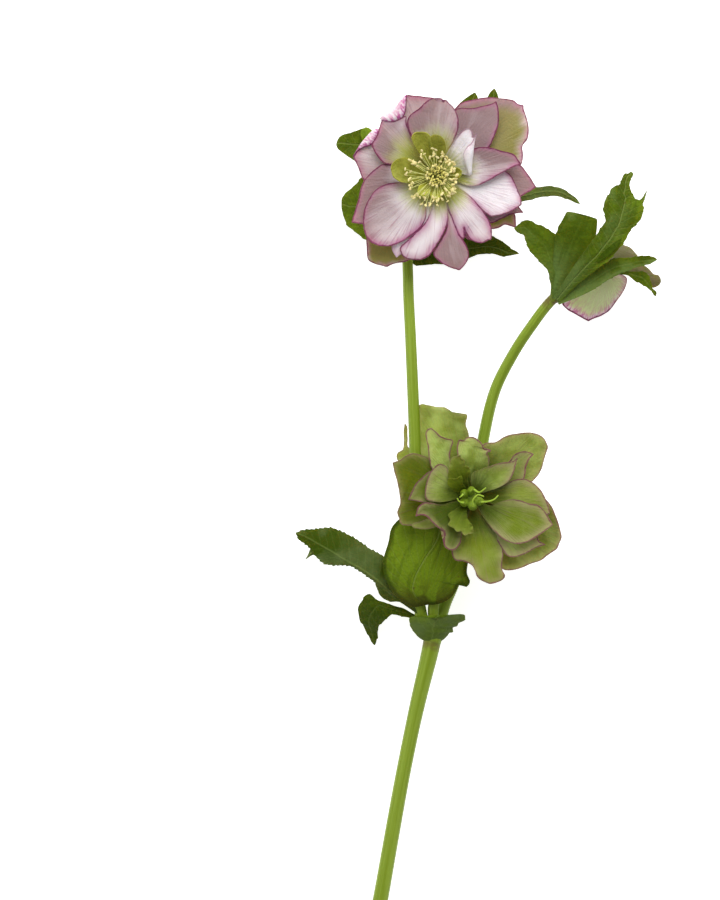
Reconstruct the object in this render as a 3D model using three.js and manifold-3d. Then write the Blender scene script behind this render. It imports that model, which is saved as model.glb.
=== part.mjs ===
// One cut stem of a double hellebore, lying on a table with its open flowers looking up.
//
// Millimetres. +Z is up from the table, +Y runs from the cut end towards the flowers, and the origin
// is on the table under the middle of the part. The stalk forks at a leafy node into three branches:
// a short one to an aged green flower, a long one to the open pink flower, and one on the right to a
// smaller flower that nods face down. A whorl of toothed bracts stands behind each pink flower.
import * as THREE from "three";
import { mergeVertices } from "three/addons/utils/BufferGeometryUtils.js";
import Module from "manifold-3d";

const wasm = await Module();
wasm.setup();

// ---------------------------------------------------------------- driving sizes

const BLADE = 0.7; // thickness of every leaf and petal
const POINT = 0.45; // half width of a blade's tip
const SEAT = 0.3; // gap between a piece and what carries it
const STALK_R = [3.1, 3.0, 2.95, 2.9, 2.95, 3.2, 3.6]; // stalk radius, cut end to node
const BRANCH_R = [2.5, 2.4, 2.3, 2.1, 2.0]; // branch radius, node to flower
const PEDICEL_R = [2.3, 2.0, 1.9]; // radius of the short pedicel
const NODE_R = 4.4; // swollen node where the stalk forks
const OPEN_WHORL_R = 2.9; // knuckle under the open flower's bracts
const NODDING_WHORL_R = 3.1;
const DISC_R = 4.4; // receptacle of a flower
const DISC_H = 4.2;
const PETAL_ROOT_R = 3; // a petal starts this far from its flower's axis, inside the receptacle
const LAYER_Z = [0.9, 2, 3.2]; // height at which the outer, middle and inner petals start
const CORE_R = 2; // dome that the stamens stand on
const CORE_H = 1.5;
const ANTHER_R = 0.85;
const FILAMENT_R = 0.32;

const TABLE = 400; // more than the part's length
const TABLE_DEPTH = 20;

const NODE = [-16.6, -43.4, 14]; // the leafy fork
const OPEN_WHORL = [-21.4, 119.4, 10.5];
const NODDING_WHORL = [31.2, 82.6, 25.5];
const OPEN_FLOWER = [-16.5, 130.6, 24]; // underside of each flower's receptacle
const GREEN_FLOWER = [-3, 2.6, 27];
const NODDING_FLOWER = [51, 91.4, 21.5];

const below = ([x, y, z], gap) => [x, y, z - gap];

const STALK = [
  [-39.8, -165.8, 2.85],
  [-38.4, -158.6, 2.85],
  [-34.3, -135.4, 3.4],
  [-29.6, -109.4, 5],
  [-24.3, -83.4, 7.5],
  [-18.9, -57.4, 11],
  NODE,
];
const OPEN_BRANCH = [
  NODE,
  [-19.4, -37, 15.5],
  [-21.8, -26.6, 17],
  [-23.8, -6.6, 19],
  [-24.8, 19.4, 20.5],
  [-25.6, 41.4, 20],
  [-26.6, 65.4, 18],
  [-27.6, 89.4, 14],
  [-27.2, 105.4, 11],
  OPEN_WHORL,
  [-17.6, 125.4, 12.6],
  [-16.5, 129.8, 17.5],
  below(OPEN_FLOWER, SEAT),
];
const NODDING_BRANCH = [
  NODE,
  [-13, -38, 12],
  [-9, -30.6, 8.6],
  [-3.8, -16.6, 6],
  [-0.2, 1.4, 6],
  [2.6, 25, 8],
  [7.4, 45.4, 11.5],
  [13.8, 58.6, 15.5],
  [20.6, 69.4, 20],
  NODDING_WHORL,
  [39.4, 86.4, 27.4],
  [47.6, 90.4, 27.6],
  [50.8, 91.4, 25],
  below(NODDING_FLOWER, -SEAT),
];
const GREEN_PEDICEL = [
  NODE,
  [-13.6, -34, 16.4],
  [-10.4, -25, 16.6],
  [-6.4, -12.6, 17.2],
  [-3.6, -0.8, 19.4],
  [-3, 2.2, 23.4],
  below(GREEN_FLOWER, SEAT),
];

// ---------------------------------------------------------------- solids

const vector = (point) => new THREE.Vector3(...point);

// A closed three.js geometry as a solid that can be joined and cut.
function solid(geometry) {
  const bare = new THREE.BufferGeometry();
  bare.setAttribute("position", geometry.getAttribute("position"));
  bare.setIndex(geometry.index);
  const merged = mergeVertices(bare, 1e-4);
  return new wasm.Manifold(
    new wasm.Mesh({
      numProp: 3,
      vertProperties: merged.getAttribute("position").array,
      triVerts: new Uint32Array(merged.index.array),
    }),
  );
}

const join = (solids) => solids.reduce((whole, next) => whole.add(next));

// Keeps the largest body of a solid, so that a cut leaves no loose scrap.
function largest(shape) {
  return shape.decompose().sort((a, b) => b.volume() - a.volume())[0];
}

// Everything below the table top is cut off, which gives the low points their flat spots.
const table = new THREE.BoxGeometry(TABLE, TABLE, TABLE_DEPTH).translate(0, 0, -TABLE_DEPTH / 2);
const onTable = (shape) => shape.subtract(solid(table));

function mesh(name, shape, material) {
  const { vertProperties, triVerts } = shape.getMesh();
  const geometry = new THREE.BufferGeometry();
  geometry.setAttribute("position", new THREE.BufferAttribute(vertProperties, 3));
  geometry.setIndex(new THREE.BufferAttribute(triVerts, 1));
  geometry.computeVertexNormals();
  const made = new THREE.Mesh(geometry, material);
  made.name = name;
  return made;
}

// A value read from a list of stations spread evenly over u from 0 to 1.
function along(stations, u) {
  const place = u * (stations.length - 1);
  const before = Math.min(Math.floor(place), stations.length - 2);
  return THREE.MathUtils.lerp(stations[before], stations[before + 1], place - before);
}

const smooth = (points) => new THREE.CatmullRomCurve3(points.map(vector), false, "centripetal");

// A round limb: a cylinder bent along a curve, with its radius given from root to end.
function limb(points, radii, sides, steps) {
  const curve = smooth(points);
  const frames = curve.computeFrenetFrames(steps, false);
  const geometry = new THREE.CylinderGeometry(1, 1, 1, sides, steps);
  const position = geometry.getAttribute("position");
  for (let i = 0; i < position.count; i++) {
    const u = position.getY(i) + 0.5;
    const step = Math.round(u * steps);
    const radius = along(radii, u);
    const moved = curve
      .getPointAt(u)
      .addScaledVector(frames.normals[step], position.getX(i) * radius)
      .addScaledVector(frames.binormals[step], -position.getZ(i) * radius);
    position.setXYZ(i, moved.x, moved.y, moved.z);
  }
  return solid(geometry);
}

function ball(centre, [x, y, z], sides = 10) {
  const sphere = new THREE.SphereGeometry(1, sides, Math.round(sides * 0.66));
  return solid(sphere.scale(x, y, z).translate(...centre));
}

// ---------------------------------------------------------------- blades

// Half width of a blade at u, as a share of its widest: it swells from the root and closes at the tip.
// A small `close` gives a broad round end and a large one a long point.
function outline(u, [swell, close]) {
  const widest = swell / (swell + close);
  const peak = widest ** swell * (1 - widest) ** close;
  return (u ** swell * (1 - u) ** close) / peak;
}

// Half width of a blade on one line across it. Teeth make the lines wider and narrower in turn.
function reachAt(u, line, { half, shape, claw, teeth, bite }) {
  const width = Array.isArray(half) ? along(half, u) : half * outline(u, shape);
  const toothed = teeth && u > 0.25 && u < 0.98;
  const tooth = toothed ? (line % 2 ? bite : -bite) / 2 : 0;
  return Math.max(width * (1 + tooth), claw * (1 - u) ** 2, POINT);
}

// Where the cross-section is, `steps` of `sides` out from the midrib: [across, along the face].
function section(steps, sides, reach, cup, roll) {
  let out = 0;
  let up = 0;
  for (let step = 0; step < steps; step++) {
    const part = (step + 0.5) / sides;
    const turn = cup * part + roll * part ** 3;
    out += (reach / sides) * Math.cos(turn);
    up += (reach / sides) * Math.sin(turn);
  }
  return [out, up];
}

const BLADE_FORM = {
  face: [[0, 0, 1]], // where the upper face looks, at the root and at the tip
  shape: [0.9, 0.45], // [swell, close] for outline()
  claw: 1, // half width at the root
  cup: 0, // turn of each side towards the upper face, in radians at the margin
  roll: [0, 0], // extra turn close to the margins, [right, left] as seen from the root, face up
  wave: 0, // rise and fall of the margins
  teeth: 0, // forward teeth on each margin
  bite: 0.14, // their depth as a share of the width
  rows: 6, // lines across the blade, where it has no teeth
  sides: 2, // strips on each side of the midrib
};
const WAVES = 2; // times that a wavy margin rises and falls
const WAVE_SHIFT = 1.7; // by which the two margins are out of step
const TIP_CROWDING = 1.35; // above 1 the lines crowd towards the tip, for a round end

// A leaf or petal blade, whose midrib runs through `spine`. `half` is its half width where it is
// widest, or a list of half widths from root to tip, and the rest is as in BLADE_FORM.
function blade(given) {
  const form = { ...BLADE_FORM, ...given };
  const { spine, face, cup, roll, wave, teeth, rows, sides } = form;
  const curve = smooth(spine);
  const faceRoot = vector(face[0]);
  const faceTip = vector(face[face.length - 1]);
  const lines = teeth ? 2 * teeth : rows;
  const sheet = new THREE.PlaneGeometry(1, 1, 2 * sides, lines);
  const position = sheet.getAttribute("position");
  for (let line = 0; line <= lines; line++) {
    const u = teeth ? line / lines : 1 - (1 - line / lines) ** TIP_CROWDING;
    const centre = curve.getPointAt(u);
    const tangent = curve.getTangentAt(u);
    const normal = faceRoot.clone().lerp(faceTip, u);
    normal.addScaledVector(tangent, -normal.dot(tangent)).normalize();
    const across = normal.clone().cross(tangent);
    const reach = reachAt(u, line, form);
    for (let column = 0; column <= 2 * sides; column++) {
      const place = column - sides;
      const hand = place < 0 ? 0 : 1;
      const [out, up] = section(Math.abs(place), sides, reach, cup, roll[hand]);
      const swing = Math.sin(2 * Math.PI * WAVES * u + hand * WAVE_SHIFT);
      const rise = up + wave * (place / sides) ** 2 * swing;
      const point = centre.clone().addScaledVector(across, Math.sign(place) * out);
      point.addScaledVector(normal, rise);
      position.setXYZ(line * (2 * sides + 1) + column, point.x, point.y, point.z);
    }
  }
  return thicken(sheet, lines + 1, 2 * sides + 1);
}

// Turns a bent plane into a closed blade: both faces have the same triangles, joined round the rim.
function thicken(sheet, lines, columns) {
  sheet.computeVertexNormals();
  const middle = sheet.getAttribute("position");
  const normals = sheet.getAttribute("normal");
  const count = middle.count;
  const positions = [];
  for (const offset of [BLADE / 2, -BLADE / 2])
    for (let i = 0; i < count; i++)
      positions.push(
        middle.getX(i) + offset * normals.getX(i),
        middle.getY(i) + offset * normals.getY(i),
        middle.getZ(i) + offset * normals.getZ(i),
      );
  const index = [];
  const upper = sheet.index.array;
  for (let i = 0; i < upper.length; i += 3) {
    const [a, b, c] = upper.slice(i, i + 3);
    index.push(a, b, c);
    index.push(count + a, count + c, count + b);
  }
  const rim = rimOf(lines, columns);
  rim.forEach((here, i) => {
    const next = rim[(i + 1) % rim.length];
    index.push(here, next, count + here);
    index.push(next, count + next, count + here);
  });
  const closed = new THREE.BufferGeometry();
  closed.setAttribute("position", new THREE.Float32BufferAttribute(positions, 3));
  closed.setIndex(index);
  return solid(closed);
}

// The vertices round the edge of a sheet of lines and columns, in order.
function rimOf(lines, columns) {
  const rim = [];
  for (let column = 0; column < columns - 1; column++) rim.push(column);
  for (let line = 0; line < lines - 1; line++) rim.push(line * columns + columns - 1);
  for (let column = columns - 1; column > 0; column--) rim.push((lines - 1) * columns + column);
  for (let line = lines - 1; line > 0; line--) rim.push(line * columns);
  return rim;
}

// ---------------------------------------------------------------- flowers

// A flower is drawn with its receptacle's underside at the origin and its face looking up, +Z.

const lathe = (profile, sides) =>
  new THREE.LatheGeometry(
    profile.map(([r, z]) => new THREE.Vector2(r, z)),
    sides,
  ).rotateX(Math.PI / 2);

function receptacle() {
  const profile = [
    [0, 0],
    [DISC_R * 0.55, 0],
    [DISC_R, 1],
    [DISC_R, DISC_H - 0.6],
    [DISC_R - 1.2, DISC_H],
    [0, DISC_H],
  ];
  return solid(lathe(profile, 12));
}

// A petal is given by where its tip stands, `to`, and the height of its middle, `mid`.
function petal({ to, mid, layer = 1, ...form }) {
  const [x, y] = to;
  const reach = Math.hypot(x, y);
  const out = [x / reach, y / reach];
  return blade({
    face: [[-0.35 * out[0], -0.35 * out[1], 1]],
    claw: 1.2,
    ...form,
    spine: [
      [out[0] * PETAL_ROOT_R, out[1] * PETAL_ROOT_R, LAYER_Z[layer]],
      [x * 0.52, y * 0.52, mid],
      to,
    ],
  });
}

const OPEN_PETALS = [
  // outer sepals, the lowest layer
  { to: [33.5, 25, -0.5], mid: 1.6, half: 14, layer: 0, shape: [0.9, 0.34], wave: 0.8, cup: 0.15 },
  { to: [-9, 32, 1.5], mid: 1.6, half: 11, layer: 0, shape: [0.9, 0.34], roll: [0, 2.6], sides: 3 },
  { to: [-32.5, 9, 1.5], mid: 1.6, half: 11, layer: 0, shape: [0.9, 0.3], roll: [2.6, 0], sides: 3 },
  { to: [-22.5, -34, -1.5], mid: 1.2, half: 10, layer: 0, shape: [0.9, 0.34], wave: 0.7 },
  { to: [31, -18, -2], mid: 1, half: 7.5, layer: 0, shape: [0.9, 0.36] },
  // the middle layer
  { to: [-32.2, -12, 4.5], mid: 3.6, half: 10, shape: [0.9, 0.24] },
  { to: [-22.6, 22, 7], mid: 5, half: 10.8, shape: [0.8, 0.28], cup: 0.2 },
  { to: [23.8, 28.6, 4.5], mid: 4, half: 9.5, shape: [0.9, 0.34] },
  { to: [39.6, -4.2, 1.5], mid: 3.2, half: 6.5, shape: [0.9, 0.26], rows: 5 },
  { to: [34.6, -14, 0.5], mid: 2.6, half: 6, shape: [0.9, 0.5], rows: 5, sides: 1 },
  { to: [9, -37.2, 2], mid: 3.4, half: 7.4, shape: [1, 0.46], rows: 5 },
  { to: [-14.6, -32.6, 3], mid: 3.6, half: 5, shape: [0.9, 0.5], rows: 5, sides: 1 },
  // the inner layer, nearest the stamens
  { to: [-1, 30.8, 9], mid: 7, half: 10.4, layer: 2, shape: [0.8, 0.3], cup: 0.3, wave: 0.4 },
  { to: [33.5, 5.6, 8.5], mid: 6.4, half: 6.8, layer: 2, shape: [0.9, 0.38], cup: 0.2 },
  { to: [32.4, -8, 6.5], mid: 5, half: 9.4, layer: 2, shape: [0.95, 0.22], cup: -0.15 },
  { to: [17.8, -25.6, 7], mid: 6, half: 7.6, layer: 2, shape: [0.9, 0.34], cup: -0.2 },
  { to: [-11, -32.6, 7], mid: 6.4, half: 7.8, layer: 2, shape: [0.9, 0.4], cup: -0.15 },
  { to: [-24.6, -22.8, 9], mid: 6.6, half: 12, layer: 2, shape: [0.8, 0.36], cup: 0.2 },
  { to: [12.2, 18.6, 14.5], mid: 7.4, half: 4.8, layer: 2, shape: [1.2, 0.4], cup: 0.8, rows: 5 },
];

const GREEN_PETALS = [
  // outer sepals
  { to: [-10.6, 36.2, -4], mid: -0.8, half: 9, layer: 0, shape: [0.9, 0.3], wave: 0.8 },
  { to: [28.4, 22.4, -2], mid: 0, half: 11, layer: 0, shape: [0.9, 0.34], wave: 1.2 },
  { to: [32.4, -21.4, 0], mid: 0.6, half: 13.4, layer: 0, shape: [0.9, 0.36], wave: 1.1 },
  { to: [-22.8, 30, -11.6], mid: -7.4, half: 4.8, layer: 0, shape: [0.9, 0.4], rows: 5, sides: 1 },
  { to: [-30.6, 4.4, 5], mid: 2.8, half: 13.4, layer: 0, shape: [0.9, 0.22], wave: 0.8 },
  // the middle layer
  { to: [28.6, -18.2, 5], mid: 3.6, half: 6.5, shape: [0.9, 0.42], rows: 5, sides: 1 },
  { to: [31, -2.4, 7.5], mid: 4.8, half: 8, shape: [0.9, 0.4], cup: 0.2 },
  { to: [24.6, 17.6, 4.6], mid: 3.4, half: 5, shape: [0.9, 0.5], cup: 0.2, rows: 5, sides: 1 },
  { to: [0.4, 23.6, 7], mid: 4.4, half: 7, shape: [0.9, 0.26], cup: 0.3, wave: 0.6, rows: 5 },
  { to: [-14.6, 26.6, 8.5], mid: 5.2, half: 5.4, shape: [0.8, 0.28], cup: 0.3, rows: 5 },
  { to: [-24.8, -0.6, 9], mid: 6, half: 6.4, shape: [0.9, 0.6], rows: 5 },
  { to: [-22.6, -11.4, 5.5], mid: 4, half: 5.4, shape: [0.9, 0.45], rows: 5, sides: 1 },
  { to: [6.6, -33.4, 5], mid: 5, half: 10.4, layer: 2, shape: [0.9, 0.38], wave: 1.1, cup: -0.1 },
  // the inner layer
  { to: [32, -10.4, 11.5], mid: 8, half: 8.4, layer: 2, shape: [0.85, 0.46], cup: 0.25 },
  { to: [17.6, 13.4, 12], mid: 6.4, half: 6.8, layer: 2, shape: [0.9, 0.26], cup: 0.7 },
  { to: [-13.6, 12.2, 15], mid: 9, half: 5.2, layer: 2, shape: [0.8, 0.3], cup: 0.4, rows: 5 },
  { to: [-21.6, -8.4, 13.5], mid: 9, half: 5, layer: 2, shape: [0.8, 0.4], cup: 0.3, wave: 0.7 },
  { to: [-9, -20, 12], mid: 9, half: 3.8, layer: 2, shape: [0.8, 0.3], wave: 0.6, rows: 5 },
  { to: [-4.4, -13.6, 13.5], mid: 9, half: 4, layer: 2, shape: [0.8, 0.3], cup: 0.5, rows: 4, sides: 1 },
  { to: [-4.1, 16.6, 15], mid: 9, half: 3.6, layer: 2, shape: [0.8, 0.4], cup: 0.5, rows: 4, sides: 1 },
];

const NODDING_PETALS = [
  // outer sepals, as seen looking into the flower
  { to: [-5.6, 17.4, 21.8], mid: 8, half: 11.8, layer: 0, shape: [0.9, 0.5], cup: 0.3 },
  { to: [21.8, 1.6, 17], mid: 6.4, half: 5, layer: 0, shape: [0.9, 0.42], wave: 0.8, rows: 5 },
  { to: [7.8, -12.6, 21.8], mid: 7.6, half: 9, layer: 0, shape: [0.9, 0.4], cup: 0.3, rows: 5 },
  { to: [-10, -12, 21.8], mid: 7.6, half: 9, layer: 0, shape: [0.9, 0.4], cup: 0.3, rows: 5 },
  { to: [-15.4, 4.5, 21], mid: 7.6, half: 8.6, layer: 0, shape: [0.9, 0.4], cup: 0.3, rows: 5 },
  // inner petals
  { to: [8.4, 10, 19.4], mid: 10, half: 6, layer: 2, cup: 0.3, rows: 4 },
  { to: [11, -6.4, 19], mid: 10, half: 6, layer: 2, cup: 0.3, rows: 4 },
  { to: [-1.8, -11.6, 19], mid: 10, half: 6, layer: 2, cup: 0.3, rows: 4 },
  { to: [-11.6, -2.6, 19], mid: 10, half: 6, layer: 2, cup: 0.3, rows: 4 },
];

const petals = (list) => join([receptacle(), ...list.map(petal)]);

// The lime nectaries between petals and stamens are small cups that grow from one ring.
const RING_R = [2.5, 4];
const NECTARIES = [
  { to: [-6.7, 16, 7], half: 4.2 },
  { to: [-17, 2.4, 5.5], half: 4.4 },
  { to: [1.4, 10.4, 6], half: 2.4 },
  { to: [10, 1.4, 4.5], half: 2.4 },
  { to: [6.2, -8, 4.5], half: 2.4 },
  { to: [-6.8, -7.4, 4.5], half: 2.4 },
];

function nectaries() {
  const ring = lathe(
    [
      [RING_R[0], 0],
      [RING_R[1], 0],
      [RING_R[1], 1],
      [RING_R[0], 1],
      [RING_R[0], 0],
    ],
    10,
  );
  const cups = NECTARIES.map(({ to, half }) => {
    const [x, y, z] = to;
    const reach = Math.hypot(x, y);
    const root = (RING_R[0] + RING_R[1]) / 2 / reach;
    return blade({
      face: [[-x / reach, -y / reach, 1]],
      spine: [[x * root, y * root, 0.5], [x * 0.6, y * 0.6, z * 0.5], to],
      half,
      shape: [0.7, 0.36],
      claw: 0.9,
      cup: 0.6,
      rows: 3,
      sides: 1,
    });
  });
  return join([solid(ring), ...cups]);
}

// An even but irregular-looking share from 0 to 1 for the i-th of several repeats.
const spread = (i, count) => (i * 0.618 + count * 0.37) % 1;

// Stamens on a small dome. Each is a thin filament that leans out and swells to an anther.
// A ring is { count, reach, rise, turn }: how far out and up its anthers stand.
function stamens(rings) {
  const parts = [ball([0, 0, CORE_H], [CORE_R, CORE_R, CORE_H], 8)];
  const radii = [FILAMENT_R, FILAMENT_R, FILAMENT_R, ANTHER_R];
  for (const { count, reach, rise, turn } of rings)
    for (let i = 0; i < count; i++) {
      const angle = turn + (i * 2 * Math.PI) / count;
      const far = reach * (0.86 + 0.28 * spread(i, count));
      const high = rise * (0.9 + 0.2 * spread(i * 3 + 1, count));
      const at = (r, z) => [Math.cos(angle) * r, Math.sin(angle) * r, z];
      const foot = Math.min(CORE_R * 0.7, far * 0.5);
      const points = [at(foot, CORE_H * 0.8), at(far * 0.6, high * 0.8), at(far, high)];
      parts.push(limb(points, radii, 3, 3));
    }
  return join(parts);
}

const OPEN_STAMENS = [
  { count: 13, reach: 10.8, rise: 7.4, turn: 0 },
  { count: 11, reach: 7.6, rise: 8, turn: 0.2 },
  { count: 7, reach: 3.8, rise: 8.6, turn: 0.1 },
  { count: 3, reach: 1.8, rise: 8.4, turn: 0.4 },
];
const NODDING_STAMENS = [
  { count: 7, reach: 5.2, rise: 9, turn: 0 },
  { count: 3, reach: 2.6, rise: 9.6, turn: 0.3 },
];

// Swollen seed pods, each with a hooked style. `lean` is where a pod's top stands and `style` where
// its style ends.
const PODS = [
  { lean: [3.6, 0.6], style: [8.6, 2.4] },
  { lean: [-4, -0.4], style: [-6.4, -0.2] },
  { lean: [0.6, 3.4], style: [4.6, 6.6] },
  { lean: [-0.4, -3.2], style: [-2, -4.4] },
];

function carpels() {
  const parts = [ball([0, 0, 1.4], [2.6, 2.6, 1.4], 8)];
  for (const { lean, style } of PODS) {
    const [x, y] = lean;
    const pod = [[0, 0, 1], [x * 0.7, y * 0.7, 3.4], [x, y, 6]];
    const hook = [[x * 0.9, y * 0.9, 5.2], [style[0] * 0.75, style[1] * 0.75, 8.4], [...style, 8.8]];
    parts.push(limb(pod, [1, 1.9, 0.7], 6, 3));
    parts.push(limb(hook, [0.55, 0.4], 4, 2));
  }
  return join(parts);
}

// What stands on a receptacle is drawn from its own foot, which is at this height in the flower.
const onDisc = (shape) => shape.translate([0, 0, DISC_H + SEAT]);
const faceUp = (shape, flower) => shape.translate(flower);
const faceDown = (shape, flower) => shape.rotate([180, 0, 0]).translate(flower);

// ---------------------------------------------------------------- stem

// The stem, or the same stem grown all over by some clearance.
function stem(grown = 0) {
  const wider = (radii) => radii.map((radius) => radius + grown);
  const knuckle = (centre, radius, stretch) =>
    ball(centre, [radius + grown, (radius + grown) * stretch, radius + grown]);
  return join([
    limb(STALK, wider(STALK_R), 10, 8),
    limb(OPEN_BRANCH, wider(BRANCH_R), 8, 18),
    limb(NODDING_BRANCH, wider(BRANCH_R), 8, 20),
    limb(GREEN_PEDICEL, wider(PEDICEL_R), 8, 9),
    knuckle(NODE, NODE_R, 1.35),
    knuckle(OPEN_WHORL, OPEN_WHORL_R, 1.2),
    knuckle(NODDING_WHORL, NODDING_WHORL_R, 1.2),
  ]);
}

// ---------------------------------------------------------------- leaves and bracts

// Each leaf or bract is one lobe, or a few lobes grown together.
const LEAVES = {
  leaf_left: [
    {
      spine: [
        [-18, -42.2, 14.4],
        [-24.6, -41.6, 17.2],
        [-30.6, -36.4, 16],
        [-39.6, -26.2, 15.6],
        [-48, -21, 14.6],
        [-57, -17.6, 13],
        [-66, -14.6, 10.8],
        [-73.1, -12, 8],
      ],
      face: [[0, 0, -1]],
      half: [1.2, 2.6, 4.4, 4.9, 5.4, 7.4, 5, 0.5],
      cup: -0.12,
      teeth: 9,
    },
    {
      spine: [[-53, -19.6, 13.7], [-61, -21.2, 12], [-65.6, -21.2, 10.8], [-69, -22.6, 10]],
      face: [[0, 0, -1]],
      half: [5, 3.6, 1.6, 0.5],
      rows: 4,
      sides: 1,
    },
  ],
  leaf_back: [
    {
      spine: [[-18, -43.6, 11.4], [-26, -41.4, 9.6], [-33, -35.6, 8.4], [-40.8, -31, 7]],
      half: 5.6,
      shape: [0.8, 0.34],
    },
  ],
  leaf_hanging: [
    {
      spine: [
        [-18, -46.8, 12.6],
        [-27, -45, 13],
        [-34, -43, 13.2],
        [-41.6, -41.6, 10.6],
        [-43.6, -47.6, 5.4],
        [-41, -58, 0.2],
      ],
      face: [[0.1, 0.3, 0.9], [-0.5, 0.3, 0.8]],
      half: [1.2, 1.5, 2.2, 5.2, 4.6, 0.5],
      cup: -0.25,
      teeth: 7,
    },
  ],
  leaf_collar: [
    {
      spine: [[-18.4, -56, 12.6], [-17.4, -53, 17.4], [-16.4, -49.6, 20], [-15.6, -46, 20]],
      face: [[0, 0, -1]],
      half: [3.2, 7, 9.8, 12],
      cup: 1,
      rows: 5,
      sides: 3,
    },
  ],
  leaf_round: [
    {
      spine: [
        [-16.8, -42, 17],
        [-19.4, -39.6, 22],
        [-21.2, -32, 24.4],
        [-19.4, -22, 25.4],
        [-17, -12, 25.8],
        [-15.4, -6.6, 25.6],
      ],
      half: 17,
      shape: [0.45, 0.34],
      claw: 2,
      cup: -0.25,
      roll: [-0.5, -0.4],
      rows: 8,
      sides: 3,
    },
    {
      spine: [[-9, -31, 22.4], [-5.6, -32, 21.4], [-3.2, -30.6, 20.8]],
      half: 1.8,
      claw: 0.6,
      rows: 3,
      sides: 1,
    },
  ],
  bracts_open_left: [
    {
      spine: [[-25.6, 119.4, 9.2], [-34, 132.5, 11.4], [-45, 143.2, 10], [-56.2, 145.2, 7]],
      half: 7,
      shape: [0.8, 0.34],
      claw: 2.6,
      cup: 0.2,
      teeth: 6,
    },
    {
      spine: [
        [-22, 119.4, 10],
        [-32, 119.8, 8.4],
        [-42, 119.6, 3.6],
        [-49, 119, 0.4],
        [-54.2, 118.4, 0.25],
      ],
      half: 11.6,
      shape: [0.8, 0.3],
      claw: 2.6,
      cup: 0.12,
      teeth: 6,
    },
  ],
  bracts_open_right: [
    {
      spine: [[-21, 118.6, 10], [-10, 109, 10], [2, 104, 8], [9, 103, 6.6], [17.6, 100.6, 4]],
      face: [[0, -0.2, 1]],
      half: 4.8,
      shape: [0.8, 0.6],
      cup: 0.2,
      teeth: 5,
    },
    {
      spine: [
        [-21, 119, 10],
        [-6, 116, 12],
        [10, 120.6, 13],
        [20, 124.6, 13],
        [29, 125.6, 12],
        [42, 121, 7],
      ],
      face: [[0.1, 0.4, 0.9]],
      half: 2.6,
      shape: [0.5, 0.5],
      teeth: 6,
      sides: 1,
    },
  ],
  bracts_open_top: [
    {
      spine: [[-21.6, 120.6, 10], [-17, 132, 8], [-9, 149, 7.5], [-0.8, 164.2, 9]],
      half: 5.4,
      shape: [0.8, 0.6],
      cup: 0.2,
      teeth: 4,
    },
    {
      spine: [[-20.6, 120.4, 10], [-10, 132, 7], [1.4, 150, 7], [7.5, 165.8, 9.5]],
      half: 5.2,
      shape: [0.8, 0.6],
      cup: 0.2,
      teeth: 4,
    },
  ],
  bracts_nodding_left: [
    {
      spine: [
        [30.6, 83, 25.6],
        [28.8, 93.4, 29.6],
        [25.2, 103, 32.6],
        [21.6, 109, 33.4],
        [14.8, 110, 32.4],
      ],
      half: [2, 4.6, 6, 4.6, 0.8],
      cup: 0.1,
      rows: 7,
    },
    {
      spine: [[30.8, 83, 25.8], [34.3, 93.7, 30.4], [37.7, 103.2, 34.4], [41, 114.6, 36]],
      half: [2, 5.8, 8, 6.4],
      cup: -0.12,
      rows: 5,
    },
  ],
  bract_nodding_long: [
    {
      spine: [
        [31.4, 82.8, 26],
        [33.2, 85.8, 32],
        [38.6, 91.6, 36.2],
        [45.6, 99.4, 38],
        [51.6, 107.6, 38.4],
        [56, 114.6, 38.6],
        [58.4, 124, 37.6],
        [60.9, 131.9, 36.4],
      ],
      half: [1, 2.2, 3.4, 4.6, 6.6, 7.8, 4.4, 0.6],
      cup: 0.2,
      teeth: 8,
    },
  ],
  bracts_nodding_low: [
    {
      spine: [
        [31.6, 82.4, 25.8],
        [36.6, 83.8, 29.6],
        [44.5, 88.8, 32],
        [54, 93, 32.2],
        [71.7, 97.4, 29.6],
      ],
      face: [[0.1, -0.3, 1]],
      half: 4.9,
      shape: [1, 0.55],
      cup: 0.15,
      teeth: 6,
    },
    {
      spine: [[53, 92.4, 31.8], [60, 90.8, 30], [66.6, 87.6, 27.6], [71.6, 82.8, 24.6]],
      half: 2.8,
      shape: [0.5, 0.5],
      rows: 5,
      sides: 1,
    },
  ],
};

// A leaf starts inside the stem and is cut back to a seat on its surface.
const grownStem = stem(SEAT);
const seated = (lobes) => largest(onTable(join(lobes.map(blade)).subtract(grownStem)));

// ---------------------------------------------------------------- the part

const finish = (color, roughness) => new THREE.MeshStandardMaterial({ color, roughness, metalness: 0 });
const STEM_GREEN = finish(0x86a53a, 0.5);
const LEAF_GREEN = finish(0x3f6b1c, 0.45);
const PETAL_PINK = finish(0xd9b3c4, 0.6);
const PETAL_GREEN = finish(0xa9bf5f, 0.6);
const NECTARY_LIME = finish(0xa3b534, 0.45);
const ANTHER_CREAM = finish(0xe8dc9a, 0.75);
const POD_GREEN = finish(0x7d9c2e, 0.5);

const plant = new THREE.Group();
const add = (name, shape, material) => plant.add(mesh(name, shape, material));

add("stem", onTable(stem()), STEM_GREEN);
for (const [name, lobes] of Object.entries(LEAVES)) add(name, seated(lobes), LEAF_GREEN);

add("petals_open", faceUp(petals(OPEN_PETALS), OPEN_FLOWER), PETAL_PINK);
add("nectaries_open", faceUp(onDisc(nectaries()), OPEN_FLOWER), NECTARY_LIME);
add("stamens_open", faceUp(onDisc(stamens(OPEN_STAMENS)), OPEN_FLOWER), ANTHER_CREAM);

add("petals_green", faceUp(petals(GREEN_PETALS), GREEN_FLOWER), PETAL_GREEN);
add("carpels_green", faceUp(onDisc(carpels()), GREEN_FLOWER), POD_GREEN);

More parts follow.
